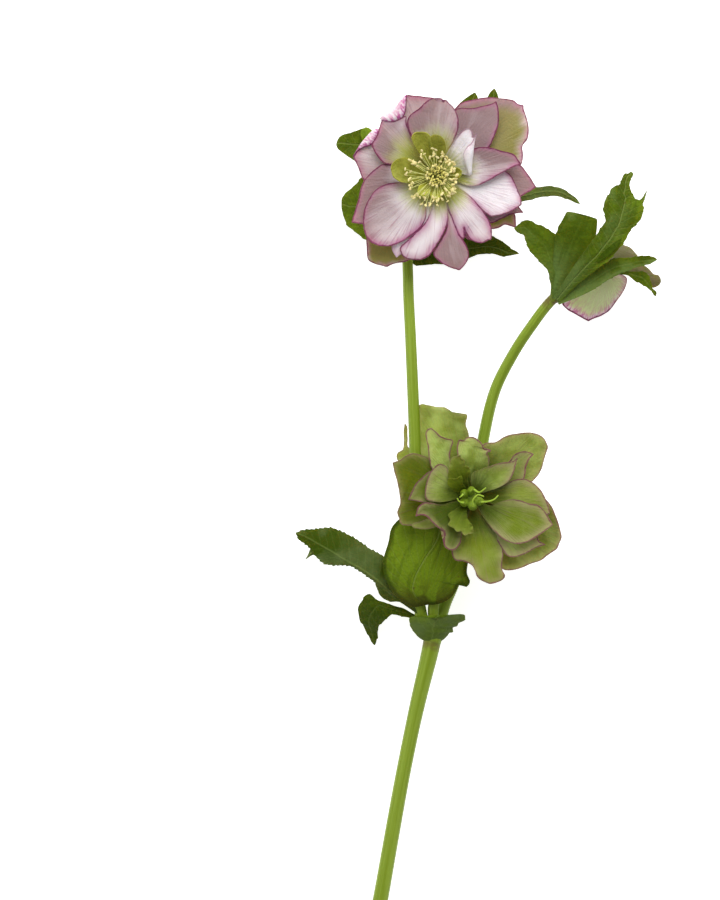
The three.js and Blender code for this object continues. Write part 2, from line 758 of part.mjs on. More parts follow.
add("petals_nodding", onTable(faceDown(petals(NODDING_PETALS), NODDING_FLOWER)), PETAL_PINK);
add("stamens_nodding", faceDown(onDisc(stamens(NODDING_STAMENS)), NODDING_FLOWER), ANTHER_CREAM);

export default plant;
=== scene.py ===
"""The looks of a cut stem of a double hellebore: fine blades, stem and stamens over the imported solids."""

import math
import random

import bpy
import numpy as np
from bpy.props import FloatProperty, FloatVectorProperty, IntProperty, PointerProperty
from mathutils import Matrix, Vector, noise


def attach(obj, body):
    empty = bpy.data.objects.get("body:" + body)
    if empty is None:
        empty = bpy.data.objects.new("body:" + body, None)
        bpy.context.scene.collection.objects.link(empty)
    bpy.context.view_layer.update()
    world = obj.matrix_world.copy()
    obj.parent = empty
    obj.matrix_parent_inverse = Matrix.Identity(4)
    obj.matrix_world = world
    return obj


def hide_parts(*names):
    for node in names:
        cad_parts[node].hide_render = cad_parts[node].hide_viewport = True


bl_info = {
    "name": "Hellebore stem",
    "version": (1, 0, 0),
    "blender": (4, 5, 0),
    "location": "View3D > Sidebar > Hellebore",
    "description": "Builds the petals, leaves, stem and stamens of a cut hellebore",
    "category": "Add Mesh",
}

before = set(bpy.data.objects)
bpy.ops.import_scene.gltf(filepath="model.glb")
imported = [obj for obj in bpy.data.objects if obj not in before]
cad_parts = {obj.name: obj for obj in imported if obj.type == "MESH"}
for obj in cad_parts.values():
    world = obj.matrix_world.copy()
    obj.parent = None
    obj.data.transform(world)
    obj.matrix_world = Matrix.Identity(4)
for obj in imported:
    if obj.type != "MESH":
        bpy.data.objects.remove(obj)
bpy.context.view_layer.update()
MM = 0.001

# ------------------------------------------------------------------ sizes and colours a user changes


def length(name, text, default):
    return FloatProperty(
        name=name, description=text, default=default * MM, unit="LENGTH", subtype="DISTANCE"
    )


def colour(name, text, default):
    return FloatVectorProperty(
        name=name, description=text, default=default, subtype="COLOR", size=3, min=0.0, max=1.0
    )


class PetalSettings(bpy.types.PropertyGroup):
    """Sizes and colours of the petals."""

    thickness: length("Thickness", "Thickness of a petal in its middle", 0.42)
    edge: length("Edge", "Width of the dark line along a petal's margin", 0.48)
    heart: length("Heart", "Radius of the lime zone round a flower's middle", 9.0)
    pale: colour("Pale", "Ground of the pink petals", (0.845, 0.78, 0.79))
    blush: colour("Blush", "Veins and blush towards the margin", (0.42, 0.14, 0.27))
    dusk: colour("Dusk", "The duller mauve of the upper petals", (0.295, 0.2, 0.205))
    sage: colour("Sage", "Outer face of the sepals", (0.57, 0.645, 0.32))
    lime: colour("Lime", "Lime of the flower's heart", (0.37, 0.395, 0.05))
    olive: colour("Olive", "Inner face of the outer sepals", (0.235, 0.225, 0.062))
    plum: colour("Plum", "The thin margin", (0.128, 0.016, 0.06))
    flap: colour("Flap", "Outer face of the pink petals", (0.88, 0.72, 0.79))
    streak: colour("Streak", "Streaks on the outer face, near the margin", (0.5, 0.1, 0.3))
    apple: colour("Apple", "Ground of the aged green petals", (0.15, 0.205, 0.005))
    # the tip colour also fills the band inside an aged petal's margin, which is partly a painted highlight
    tip: colour("Tip", "Mauve-green of the aged petals' ends", (0.315, 0.305, 0.125))
    # the fresh patches are partly the aged petals' own pale mottling and partly a painted highlight, also
    # set paler on petals that lie in shade
    fresh: colour("Fresh", "Pale green patches of the aged petals", (0.42, 0.54, 0.13))
    # on the aged petals this deep green at the bases and over one half of some petals is partly their own
    # colour and partly painted shade, near the heart and between overlapping petals
    deep: colour("Deep", "Green of the aged petals' bases", (0.045, 0.078, 0.001))
    brown: colour("Brown", "Margin of the aged petals", (0.16, 0.06, 0.07))


class LeafSettings(bpy.types.PropertyGroup):
    """Sizes and colours of the leaves and bracts."""

    thickness: length("Thickness", "Thickness of a leaf in its middle", 0.5)
    vein_pitch: length("Vein pitch", "Distance between two side veins at the midrib", 3.4)
    upper: colour("Upper", "Upper face", (0.036, 0.066, 0.001))
    young: colour("Young", "Brighter green patches", (0.135, 0.21, 0.007))
    under: colour("Under", "Grey-green lower face", (0.085, 0.125, 0.034))
    # partly the bracts' own grey-green near the root, partly a painted sheen in patches and over whole
    # halves
    bloom_and_sheen: colour("Bloom", "Greyish bloom of the bracts", (0.108, 0.17, 0.034))
    vein: colour("Vein", "Midrib and veins", (0.22, 0.29, 0.07))


class StemSettings(bpy.types.PropertyGroup):
    """Sizes and colours of the stem."""

    rib: length("Rib depth", "Depth of the lengthwise ribs", 0.06)
    ribs: IntProperty(name="Ribs", description="Number of lengthwise ribs", default=7, min=3)
    green: colour("Green", "Skin of the stem", (0.17, 0.245, 0.008))
    light: colour("Light", "Lighter bands along the stem", (0.25, 0.35, 0.035))
    blush: colour("Blush", "Purplish blush at the knuckles", (0.13, 0.05, 0.03))


class StamenSettings(bpy.types.PropertyGroup):
    """Numbers, sizes and colours of the stamens, nectaries and pods."""

    count: IntProperty(name="Count", description="Ripe stamens of the open flower", default=96, min=1)
    core: IntProperty(name="Core", description="Unripe anthers in its middle", default=58, min=1)
    anther: length("Anther", "Length of a ripe anther", 1.6)
    filament: length("Filament", "Radius of a filament", 0.09)
    cream: colour("Cream", "Ripe anthers", (0.88, 0.76, 0.38))
    straw: colour("Straw", "Unripe anthers", (0.8, 0.72, 0.2))
    thread: colour("Thread", "Filaments", (0.72, 0.74, 0.24))
    nectary: colour("Nectary", "Nectaries", (0.2, 0.205, 0.012))
    pod: colour("Pod", "Seed pods", (0.13, 0.2, 0.006))


class StageSettings(bpy.types.PropertyGroup):
    """Floor, lights and camera."""

    distance: FloatProperty(
        name="Camera height", description="Height of the camera", default=2.025, unit="LENGTH"
    )
    lens: FloatProperty(name="Lens", description="Focal length in millimetres", default=200.0, min=1.0)
    floor: FloatProperty(name="Floor", description="Width of the floor", default=6.0, unit="LENGTH")
    key: FloatProperty(
        name="Lights", description="Power of which each light has its share", default=110.0, min=0.0
    )
    fill: FloatProperty(name="Fill light", description="Strength of the sky", default=0.42, min=0.0)
    white: colour("Floor colour", "Colour of the floor", (0.8, 0.8, 0.8))


# ------------------------------------------------------------------ lines and sheets

CLAMP = 1e-9


def spline(points, per=12):
    """A smooth line through the given points, finely divided (a centripetal Catmull-Rom curve)."""
    given = np.asarray(points, float)
    ends = np.vstack([2 * given[0] - given[1], given, 2 * given[-1] - given[-2]])
    line = [given[:1]]
    for i in range(len(given) - 1):
        a, b, c, d = ends[i : i + 4]
        steps = [max(np.linalg.norm(q - p), CLAMP) ** 0.5 for p, q in ((a, b), (b, c), (c, d))]
        ta, tb, tc, td = 0.0, steps[0], steps[0] + steps[1], sum(steps)
        t = np.linspace(tb, tc, per + 1)[1:, None]
        ab = (tb - t) / (tb - ta) * a + (t - ta) / (tb - ta) * b
        bc = (tc - t) / (tc - tb) * b + (t - tb) / (tc - tb) * c
        cd = (td - t) / (td - tc) * c + (t - tc) / (td - tc) * d
        abc = (tc - t) / (tc - ta) * ab + (t - ta) / (tc - ta) * bc
        bcd = (td - t) / (td - tb) * bc + (t - tb) / (td - tb) * cd
        line.append((tc - t) / (tc - tb) * abc + (t - tb) / (tc - tb) * bcd)
    return np.vstack(line)


def arcs(line):
    """Distance along a line at each of its points."""
    return np.concatenate([[0.0], np.cumsum(np.linalg.norm(np.diff(line, axis=0), axis=1))])


def sample(points, shares):
    """Points of the smooth line through `points` at shares of its length."""
    line = spline(points)
    arc = arcs(line)
    return np.stack([np.interp(shares * arc[-1], arc, line[:, k]) for k in range(line.shape[1])], 1)


def heights(values, shares):
    """Values given evenly from root to tip, smoothly read at the shares."""
    if np.ndim(values) == 0:
        return np.full(len(shares), float(values))
    line = spline([(i, value) for i, value in enumerate(values)])
    return np.interp(shares * (len(values) - 1), line[:, 0], line[:, 1])


def unit(vectors):
    """The vectors, each made one long."""
    return vectors / np.maximum(np.linalg.norm(vectors, axis=-1, keepdims=True), CLAMP)


def rough(points, scale, seed):
    """Smooth noise from -1 to 1 at each point, with lumps about `scale` millimetres wide."""
    flat = points.reshape(-1, points.shape[-1])
    shift = Vector((seed * 3.7, seed * 1.3, seed * 2.1))
    made = [noise.noise(Vector((*p, 0.0)[:3]) / scale + shift) for p in flat.tolist()]
    return np.array(made).reshape(points.shape[:-1])


class Shell:
    """The vertices, faces and painted values of one piece, in millimetres."""

    # fan: where a spot lies among the veins; spot: distance to the margin, distance across, face
    # (0 upper, 1 lower); tone and trim: what tints it, as BLADE tells
    PAINTED = ("fan", "spot", "tone", "trim")

    def __init__(self):
        self.points, self.faces, self.count = [], [], 0
        self.painted = {name: [] for name in self.PAINTED}

    def add(self, points, faces, fan, spot, tone, trim=(1, 0, 0)):
        points = np.asarray(points, float).reshape(-1, 3)
        self.points.append(points)
        self.faces += [tuple(i + self.count for i in face) for face in faces]
        for name, values in zip(self.PAINTED, (fan, spot, tone, trim)):
            self.painted[name].append(np.broadcast_to(np.asarray(values, float), (len(points), 3)))
        self.count += len(points)

    def piece(self, name, finish, slot, nodes, sharp=50):
        """Makes the object, which stands for the CAD nodes."""
        mesh = bpy.data.meshes.new(name)
        mesh.from_pydata(np.vstack(self.points) * MM, [], self.faces)
        for painted, values in self.painted.items():
            layer = mesh.attributes.new(painted, "FLOAT_VECTOR", "POINT")
            layer.data.foreach_set("vector", np.vstack(values).ravel())
        mesh.shade_smooth()
        mesh.set_sharp_from_angle(angle=math.radians(sharp))
        mesh.materials.append(finish)
        made = bpy.data.objects.new(name, mesh)
        bpy.context.scene.collection.objects.link(made)
        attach(made, "root")
        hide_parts(*nodes)
        return made


# What a blade is given where its form doesn't say otherwise, in millimetres.
BLADE = dict(
    rib=None,  # the midrib, where it isn't halfway between the margins
    edges=(0, 0),  # how far the left and right margins stand above the midrib
    crumple=0.6,  # height of the soft lumps
    frill=0.3,  # rise and fall of the margins
    ragged=0.12,  # how far the margins wander in and out
    teeth=0,  # teeth along each margin
    bite=0.5,  # their depth
    flap=None,  # (side, line): the margin folded over towards the middle, up to this line
    lines=40,
    sides=12,
    under=False,  # the blade's lower face looks up
    fan=False,  # veins spread from the root, where they don't leave a midrib
    # on the aged petals the third tone, a deep green, is partly painted shade; on the bracts it is partly
    # painted sheen
    tone=(0, 0, 0),  # petal: blush, lime, dusk; leaf: unused, brighter green, greyish bloom
    # petal: dark margin, reach of the root's colour, paleness (on the aged petals partly a painted
    # highlight); leaf: veins, dark rim (painted shade of a margin rolled down), brown stain
    trim=(1, 0, 0),
    # on the aged petals the darker half is partly painted shade, on the bracts the greyer half is partly
    # painted sheen
    lean=0.0,  # how much more of the third tone lies on the right half than on the left
)
FAR = 9  # a distance to the margin that no tint of the margin reaches
ROOT_SHARE = 0.22  # the part near the root where lumps fade away
CROWD = 1.3  # above 1 the lines crowd towards the tip
LAST = 0.996  # where the last line stands, so that a pointed tip keeps some width
CUP_POWER = 1.7
LUMP, SMALL_LUMP = 9, 3.5  # widths of the soft lumps
SMALL_SHARE = 0.4  # height of the small lumps beside the large ones
RIPPLES = 9  # how often a margin may rise and fall
THIN_REACH = 2.5  # a blade thins over this distance from its margin
STRIP = 8  # columns of a folded margin
FLAP_BEND = 0.3  # share of a folded margin that makes the bend
FLAP_RADIUS = 0.45
FLAP_SWELL = 0.22  # how far a folded margin bulges, of its width
VEIN_SLOPE = 0.85  # how steeply side veins run forward
FAN_VEINS = 7.5  # veins a radian, where they spread from the root
TOOTH_LINES = 6  # lines across the blade for each tooth
ROOT_BULGE, TIP_BULGE = 0.12, 0.35  # how far a limb's ends stand out, of its radius
LIME_LEAN = 0.35  # how far the second tone leans the other way, beside the third


def outward(margin, side):
    """Unit vectors that point away from the blade along its margin, in plan."""
    run = unit(np.gradient(margin[:, :2], axis=0))
    return np.stack([run[:, 1], -run[:, 0]], 1) * side


def toothed(margin, side, form, seed):
    """The margin moved out and in as teeth that point forward, and as a ragged line."""
    arc = arcs(margin)
    share = arc / arc[-1]
    fade = np.clip((share - 0.18) / 0.2, 0, 1) * np.clip((1 - share) / 0.05, 0, 1)
    move = form["ragged"] * rough(np.stack([arc, arc * 0 + side * 5], 1), 2.2, seed) * fade
    if form["teeth"]:
        place = share * form["teeth"]
        size = 0.65 + 0.35 * np.sin(np.floor(place) * 2.4 + seed + side)
        move = move + form["bite"] * size * fade * (place % 1.0) ** 1.3
    return margin + outward(margin, side) * move[:, None]


def folded(margin, height, side, form, shares):
    """The extra columns of a margin that is folded over: list of (plan, height, distance to the
    margin). It is empty for a margin that isn't."""
    out = outward(margin, side)
    columns = []
    if form["flap"] and form["flap"][0] == side:
        line = sample(form["flap"][1], shares)
        span = np.linalg.norm(line - margin, axis=1)
        radius = np.minimum(FLAP_RADIUS, span * 0.45)
        for k in range(1, STRIP + 1):
            q = k / STRIP
            turn = math.pi * min(q / FLAP_BEND, 1)
            flat = max(0.0, (q - FLAP_BEND) / (1 - FLAP_BEND))
            plan = margin + (line - margin) * flat + out * (radius * math.sin(turn))[:, None]
            swollen = FLAP_SWELL * span * math.sin(math.pi * min(1, flat * 0.8 + 0.2 * q))
            columns.append((plan, height + radius * (1 - math.cos(turn)) + swollen, span * (1 - flat)))
    return columns


def sheet_of(form, seed):
    """A blade's midrib, and its columns from left to right. A column holds its points, their
    distance to the margin, their distance across, and its share of the way out, -1 to 1."""
    lines = TOOTH_LINES * form["teeth"] or form["lines"]
    t = 1 - (1 - np.linspace(0, 1, lines + 1)) ** (1.0 if form["teeth"] else CROWD)
    t = t * LAST
    left = toothed(sample(form["left"], t), -1, form, seed)
    right = toothed(sample(form["right"], t), 1, form, seed)
    rib = sample(form["rib"], t) if form["rib"] else (left + right) / 2
    s = np.linspace(-1, 1, 2 * form["sides"] + 1)
    reach = np.abs(s)[None, :, None]
    margin = np.where(s[None, :, None] < 0, left[:, None, :], right[:, None, :])
    plan = rib[:, None, :] * (1 - reach) + margin * reach
    wide = np.linalg.norm(right - left, axis=1)
    swell = np.clip(wide / wide.max(), 0, 1)
    lifts = np.where(
        s[None, :] < 0, heights(form["edges"][0], t)[:, None], heights(form["edges"][1], t)[:, None]
    )
    grown = np.clip(t / ROOT_SHARE, 0, 1)[:, None]
    z = heights(form["rise"], t)[:, None] + lifts * swell[:, None] * np.abs(s)[None, :] ** CUP_POWER
    lumps = rough(plan, LUMP, seed) + SMALL_SHARE * rough(plan, SMALL_LUMP, seed + 50)
    z = z + form["crumple"] * grown * (0.4 + 0.6 * np.abs(s)[None, :]) * lumps
    run = np.broadcast_to(t[:, None] * RIPPLES, z.shape)
    ripple = rough(np.stack([run, np.sign(s) * 4 + z * 0], 2), 1, seed)
    z = z + form["frill"] * grown * np.abs(s)[None, :] ** 3 * ripple
    points = np.dstack([plan, z])
    margins = np.vstack([left, right[::-1]])
    walk = arcs(margins)
    dense = np.linspace(0, walk[-1], 6 * len(walk))
    margins = np.stack([np.interp(dense, walk, margins[:, k]) for k in (0, 1)], 1)
    gap = np.linalg.norm(plan[:, :, None, :] - margins[None, None], axis=3).min(2)
    gap[:, 0] = gap[:, -1] = 0
    across = np.abs(s)[None, :] * wide[:, None] / 2
    columns = [(points[:, j], gap[:, j], across[:, j] * np.sign(s[j]), s[j]) for j in range(len(s))]
    for side, edge, j in ((-1, left, 0), (1, right, -1)):
        strip = folded(edge, points[:, j, 2], side, form, t)
        if not strip:
            continue
        first = strip[0][2] + 0 * t
        for c in columns:
            if abs(c[3]) < 1 and c[3] * side > 0:
                c[1][:] = np.maximum(c[1], np.minimum(first, FAR))
        columns[j][1][:] = first
        extra = [
            (np.column_stack([p, h]), rest + 0 * t, columns[j][2], side) for p, h, rest in strip
        ]
        columns = extra[::-1] + columns if side < 0 else columns + extra
    return rib, columns


def blade(shell, given, seed, thickness, centre=(0, 0, 0), down=False, leaf_pitch=None):
    """Adds a petal or leaf: a closed, thin blade with an upper and a lower face."""
    form = {**BLADE, **given}
    rib, columns = sheet_of(form, seed)
    points = np.stack([c[0] for c in columns], 1)
    edge = np.stack([c[1] for c in columns], 1)
    across = np.stack([c[2] for c in columns], 1)
    rows, width = edge.shape
    normal = unit(np.cross(np.gradient(points, axis=1), np.gradient(points, axis=0)))
    grow = thickness * (0.5 + 0.5 * np.clip(edge / THIN_REACH, 0, 1)) / 2
    length_along = arcs(rib)[:, None] + 0 * edge
    root = points[0, width // 2]
    away = points - root
    angle = np.arctan2(away[:, :, 1], away[:, :, 0]) - math.atan2(*(rib[-1] - rib[0])[::-1])
    angle = (angle + math.pi) % (2 * math.pi) - math.pi
    angle[0] = angle[1]
    if leaf_pitch is None:
        radius = np.hypot(points[:, :, 0], points[:, :, 1])
        fan = np.dstack([angle, radius, 0 * edge + seed])
    else:
        phase = (length_along - VEIN_SLOPE * np.abs(across)) / leaf_pitch + (across > 0) * 0.5
        phase = angle * FAN_VEINS if form["fan"] else phase
        fan = np.dstack([phase, length_along, 0 * edge + seed])
    spot = np.dstack([edge, across, 0 * edge])
    sign = -1.0 if down else 1.0
    place = np.array([1.0, 1.0, sign])
    upper = (points + normal * grow[:, :, None]) * place + centre
    lower = (points - normal * grow[:, :, None]) * place + centre
    both = np.concatenate([upper.reshape(-1, 3), lower.reshape(-1, 3)])
    faces_up = (0, 0, 1) if form["under"] else (0, 0, 0)
    spots = np.concatenate([spot.reshape(-1, 3) + faces_up, spot.reshape(-1, 3) + (0, 0, 1) - faces_up])
    fans = np.concatenate([fan.reshape(-1, 3)] * 2)
    faces = sheet_faces(rows, width)
    if down:
        faces = [face[::-1] for face in faces]
    halves = np.tile(np.array([c[3] for c in columns]), rows)
    tones = np.tile(np.array(form["tone"], float), (rows * width, 1))
    tones[:, 1] *= np.clip(1 - LIME_LEAN * form["lean"] * halves, 0, 2)
    tones[:, 2] *= np.clip(1 + form["lean"] * halves, 0, 2)
    shell.add(both, faces, fans, spots, np.concatenate([tones, tones]), form["trim"])


def sheet_faces(rows, width):
    """Faces of a closed blade whose upper and lower sheets have rows x width vertices."""
    count = rows * width
    faces = []
    for i in range(rows - 1):
        for j in range(width - 1):
            a, b = i * width + j, (i + 1) * width + j
            faces.append((a, a + 1, b + 1, b))
            faces.append((count + a, count + b, count + b + 1, count + a + 1))
    rim = list(range(width - 1))
    rim += [i * width + width - 1 for i in range(rows - 1)]
    rim += [(rows - 1) * width + j for j in range(width - 1, 0, -1)]
    rim += [i * width for i in range(rows - 1, 0, -1)]
    for k, here in enumerate(rim):
        after = rim[(k + 1) % len(rim)]
        faces.append((here, count + here, count + after, after))
    return faces


def ring_faces(rings, sides):
    """Faces of a closed body of stacked rings, whose two end points come after the rings."""
    low, high = rings * sides, rings * sides + 1
    faces = []
    for j in range(sides):
        after = (j + 1) % sides
        faces.append((after, j, low))
        faces.append((low - sides + j, low - sides + after, high))
        for i in range(rings - 1):
            a, b = i * sides + j, i * sides + after
            faces.append((a, b, b + sides, a + sides))
    return faces


def tube(shell, path, radii, sides, step, shift=0.0, tone=(0, 0, 0), ribs=None, blush=None):
    """Adds a closed round limb along a smooth path. `ribs` is (number, depth), `blush` gives the
    first tone at a point, and `shift` is where the path starts in the stripes."""
    line = spline(path)
    arc = arcs(line)
    rings = max(3, int(arc[-1] / step))
    share = np.linspace(0, 1, rings + 1)
    centre = np.stack([np.interp(share * arc[-1], arc, line[:, k]) for k in range(3)], 1)
    run = unit(np.gradient(centre, axis=0))
    radius = np.interp(share, np.linspace(0, 1, len(radii)), radii)
    side = np.cross(run[0], (0.3, 0.2, 1.0))
    turns = np.linspace(0, 2 * math.pi, sides, endpoint=False)
    points, fans, tones = [], [], []
    for k in range(rings + 1):
        side = unit(side - run[k] * np.dot(side, run[k]))
        other = np.cross(run[k], side)
        wide = radius[k] + (ribs[1] * np.cos(ribs[0] * turns) if ribs else 0 * turns)
        ring = centre[k] + side * (wide * np.cos(turns))[:, None] + other * (wide * np.sin(turns))[:, None]
        points.append(ring)
        fans.append(np.stack([np.cos(turns), np.sin(turns), 0 * turns + share[k] * arc[-1] + shift], 1))
        here = blush(centre[k]) if blush else tone[0]
        tones.append(np.broadcast_to((here, *tone[1:]), (sides, 3)))
    points.append(centre[:1] - run[:1] * radius[0] * ROOT_BULGE)
    points.append(centre[-1:] + run[-1:] * radius[-1] * TIP_BULGE)
    fans += [fans[0][:1], fans[-1][:1]]
    tones += [tones[0][:1], tones[-1][:1]]
    faces = ring_faces(rings + 1, sides)
    shell.add(np.vstack(points), faces, np.vstack(fans), (FAR, 0, 0), np.vstack(tones))


def bead(shell, centre, axis, size, tone, lobes=0.22, sides=8, rings=6):
    """Adds an anther: a small two-lobed body, `size` is (length, width)."""
    run = Vector(axis).normalized()
    side = run.orthogonal().normalized()
    other = run.cross(side)
    points = []
    for i in range(1, rings):
        up = -math.cos(math.pi * i / rings) * size[0] / 2
        wide = math.sin(math.pi * i / rings) ** 0.7 * size[1] / 2
        for j in range(sides):
            turn = 2 * math.pi * j / sides
            reach = wide * (1 - lobes + lobes * math.cos(2 * turn))
            out = side * math.cos(turn) + other * math.sin(turn)
            points.append(Vector(centre) + run * up + out * reach)
    points += [Vector(centre) - run * size[0] / 2, Vector(centre) + run * size[0] / 2]
    shell.add([tuple(p) for p in points], ring_faces(rings - 1, sides), (0, 0, 0), (FAR, 0, 0), tone)


def turned(shell, profile, centre, down=False, sides=40, tone=(0, 0, 0)):
    """Adds a body turned on an upright axis, from a list of (radius, height), ends on the axis."""
    sign = -1.0 if down else 1.0
    turns = np.linspace(0, 2 * math.pi, sides, endpoint=False)
    inner = profile[1:-1]
    rings = [np.stack([r * np.cos(turns), r * np.sin(turns), 0 * turns + h * sign], 1) for r, h in inner]
    ends = [(0, 0, height * sign) for _, height in (profile[0], profile[-1])]
    faces = ring_faces(len(inner), sides)
    if down:
        faces = [face[::-1] for face in faces]
    shell.add(np.vstack([*rings, ends]) + centre, faces, (0, 2, 0), (FAR, 0, 0), tone)


# ------------------------------------------------------------------ petals
# Margins run from the root to the shared tip, in millimetres from the flower's axis, left and right
# as seen along the petal. `rise` is the midrib's height from root to tip. BLADE tells the rest.

OPEN_FLOWER = (-16.5, 130.6, 24)
GREEN_FLOWER = (-3, 2.6, 27)
NODDING_FLOWER = (51, 91.4, 21.5)

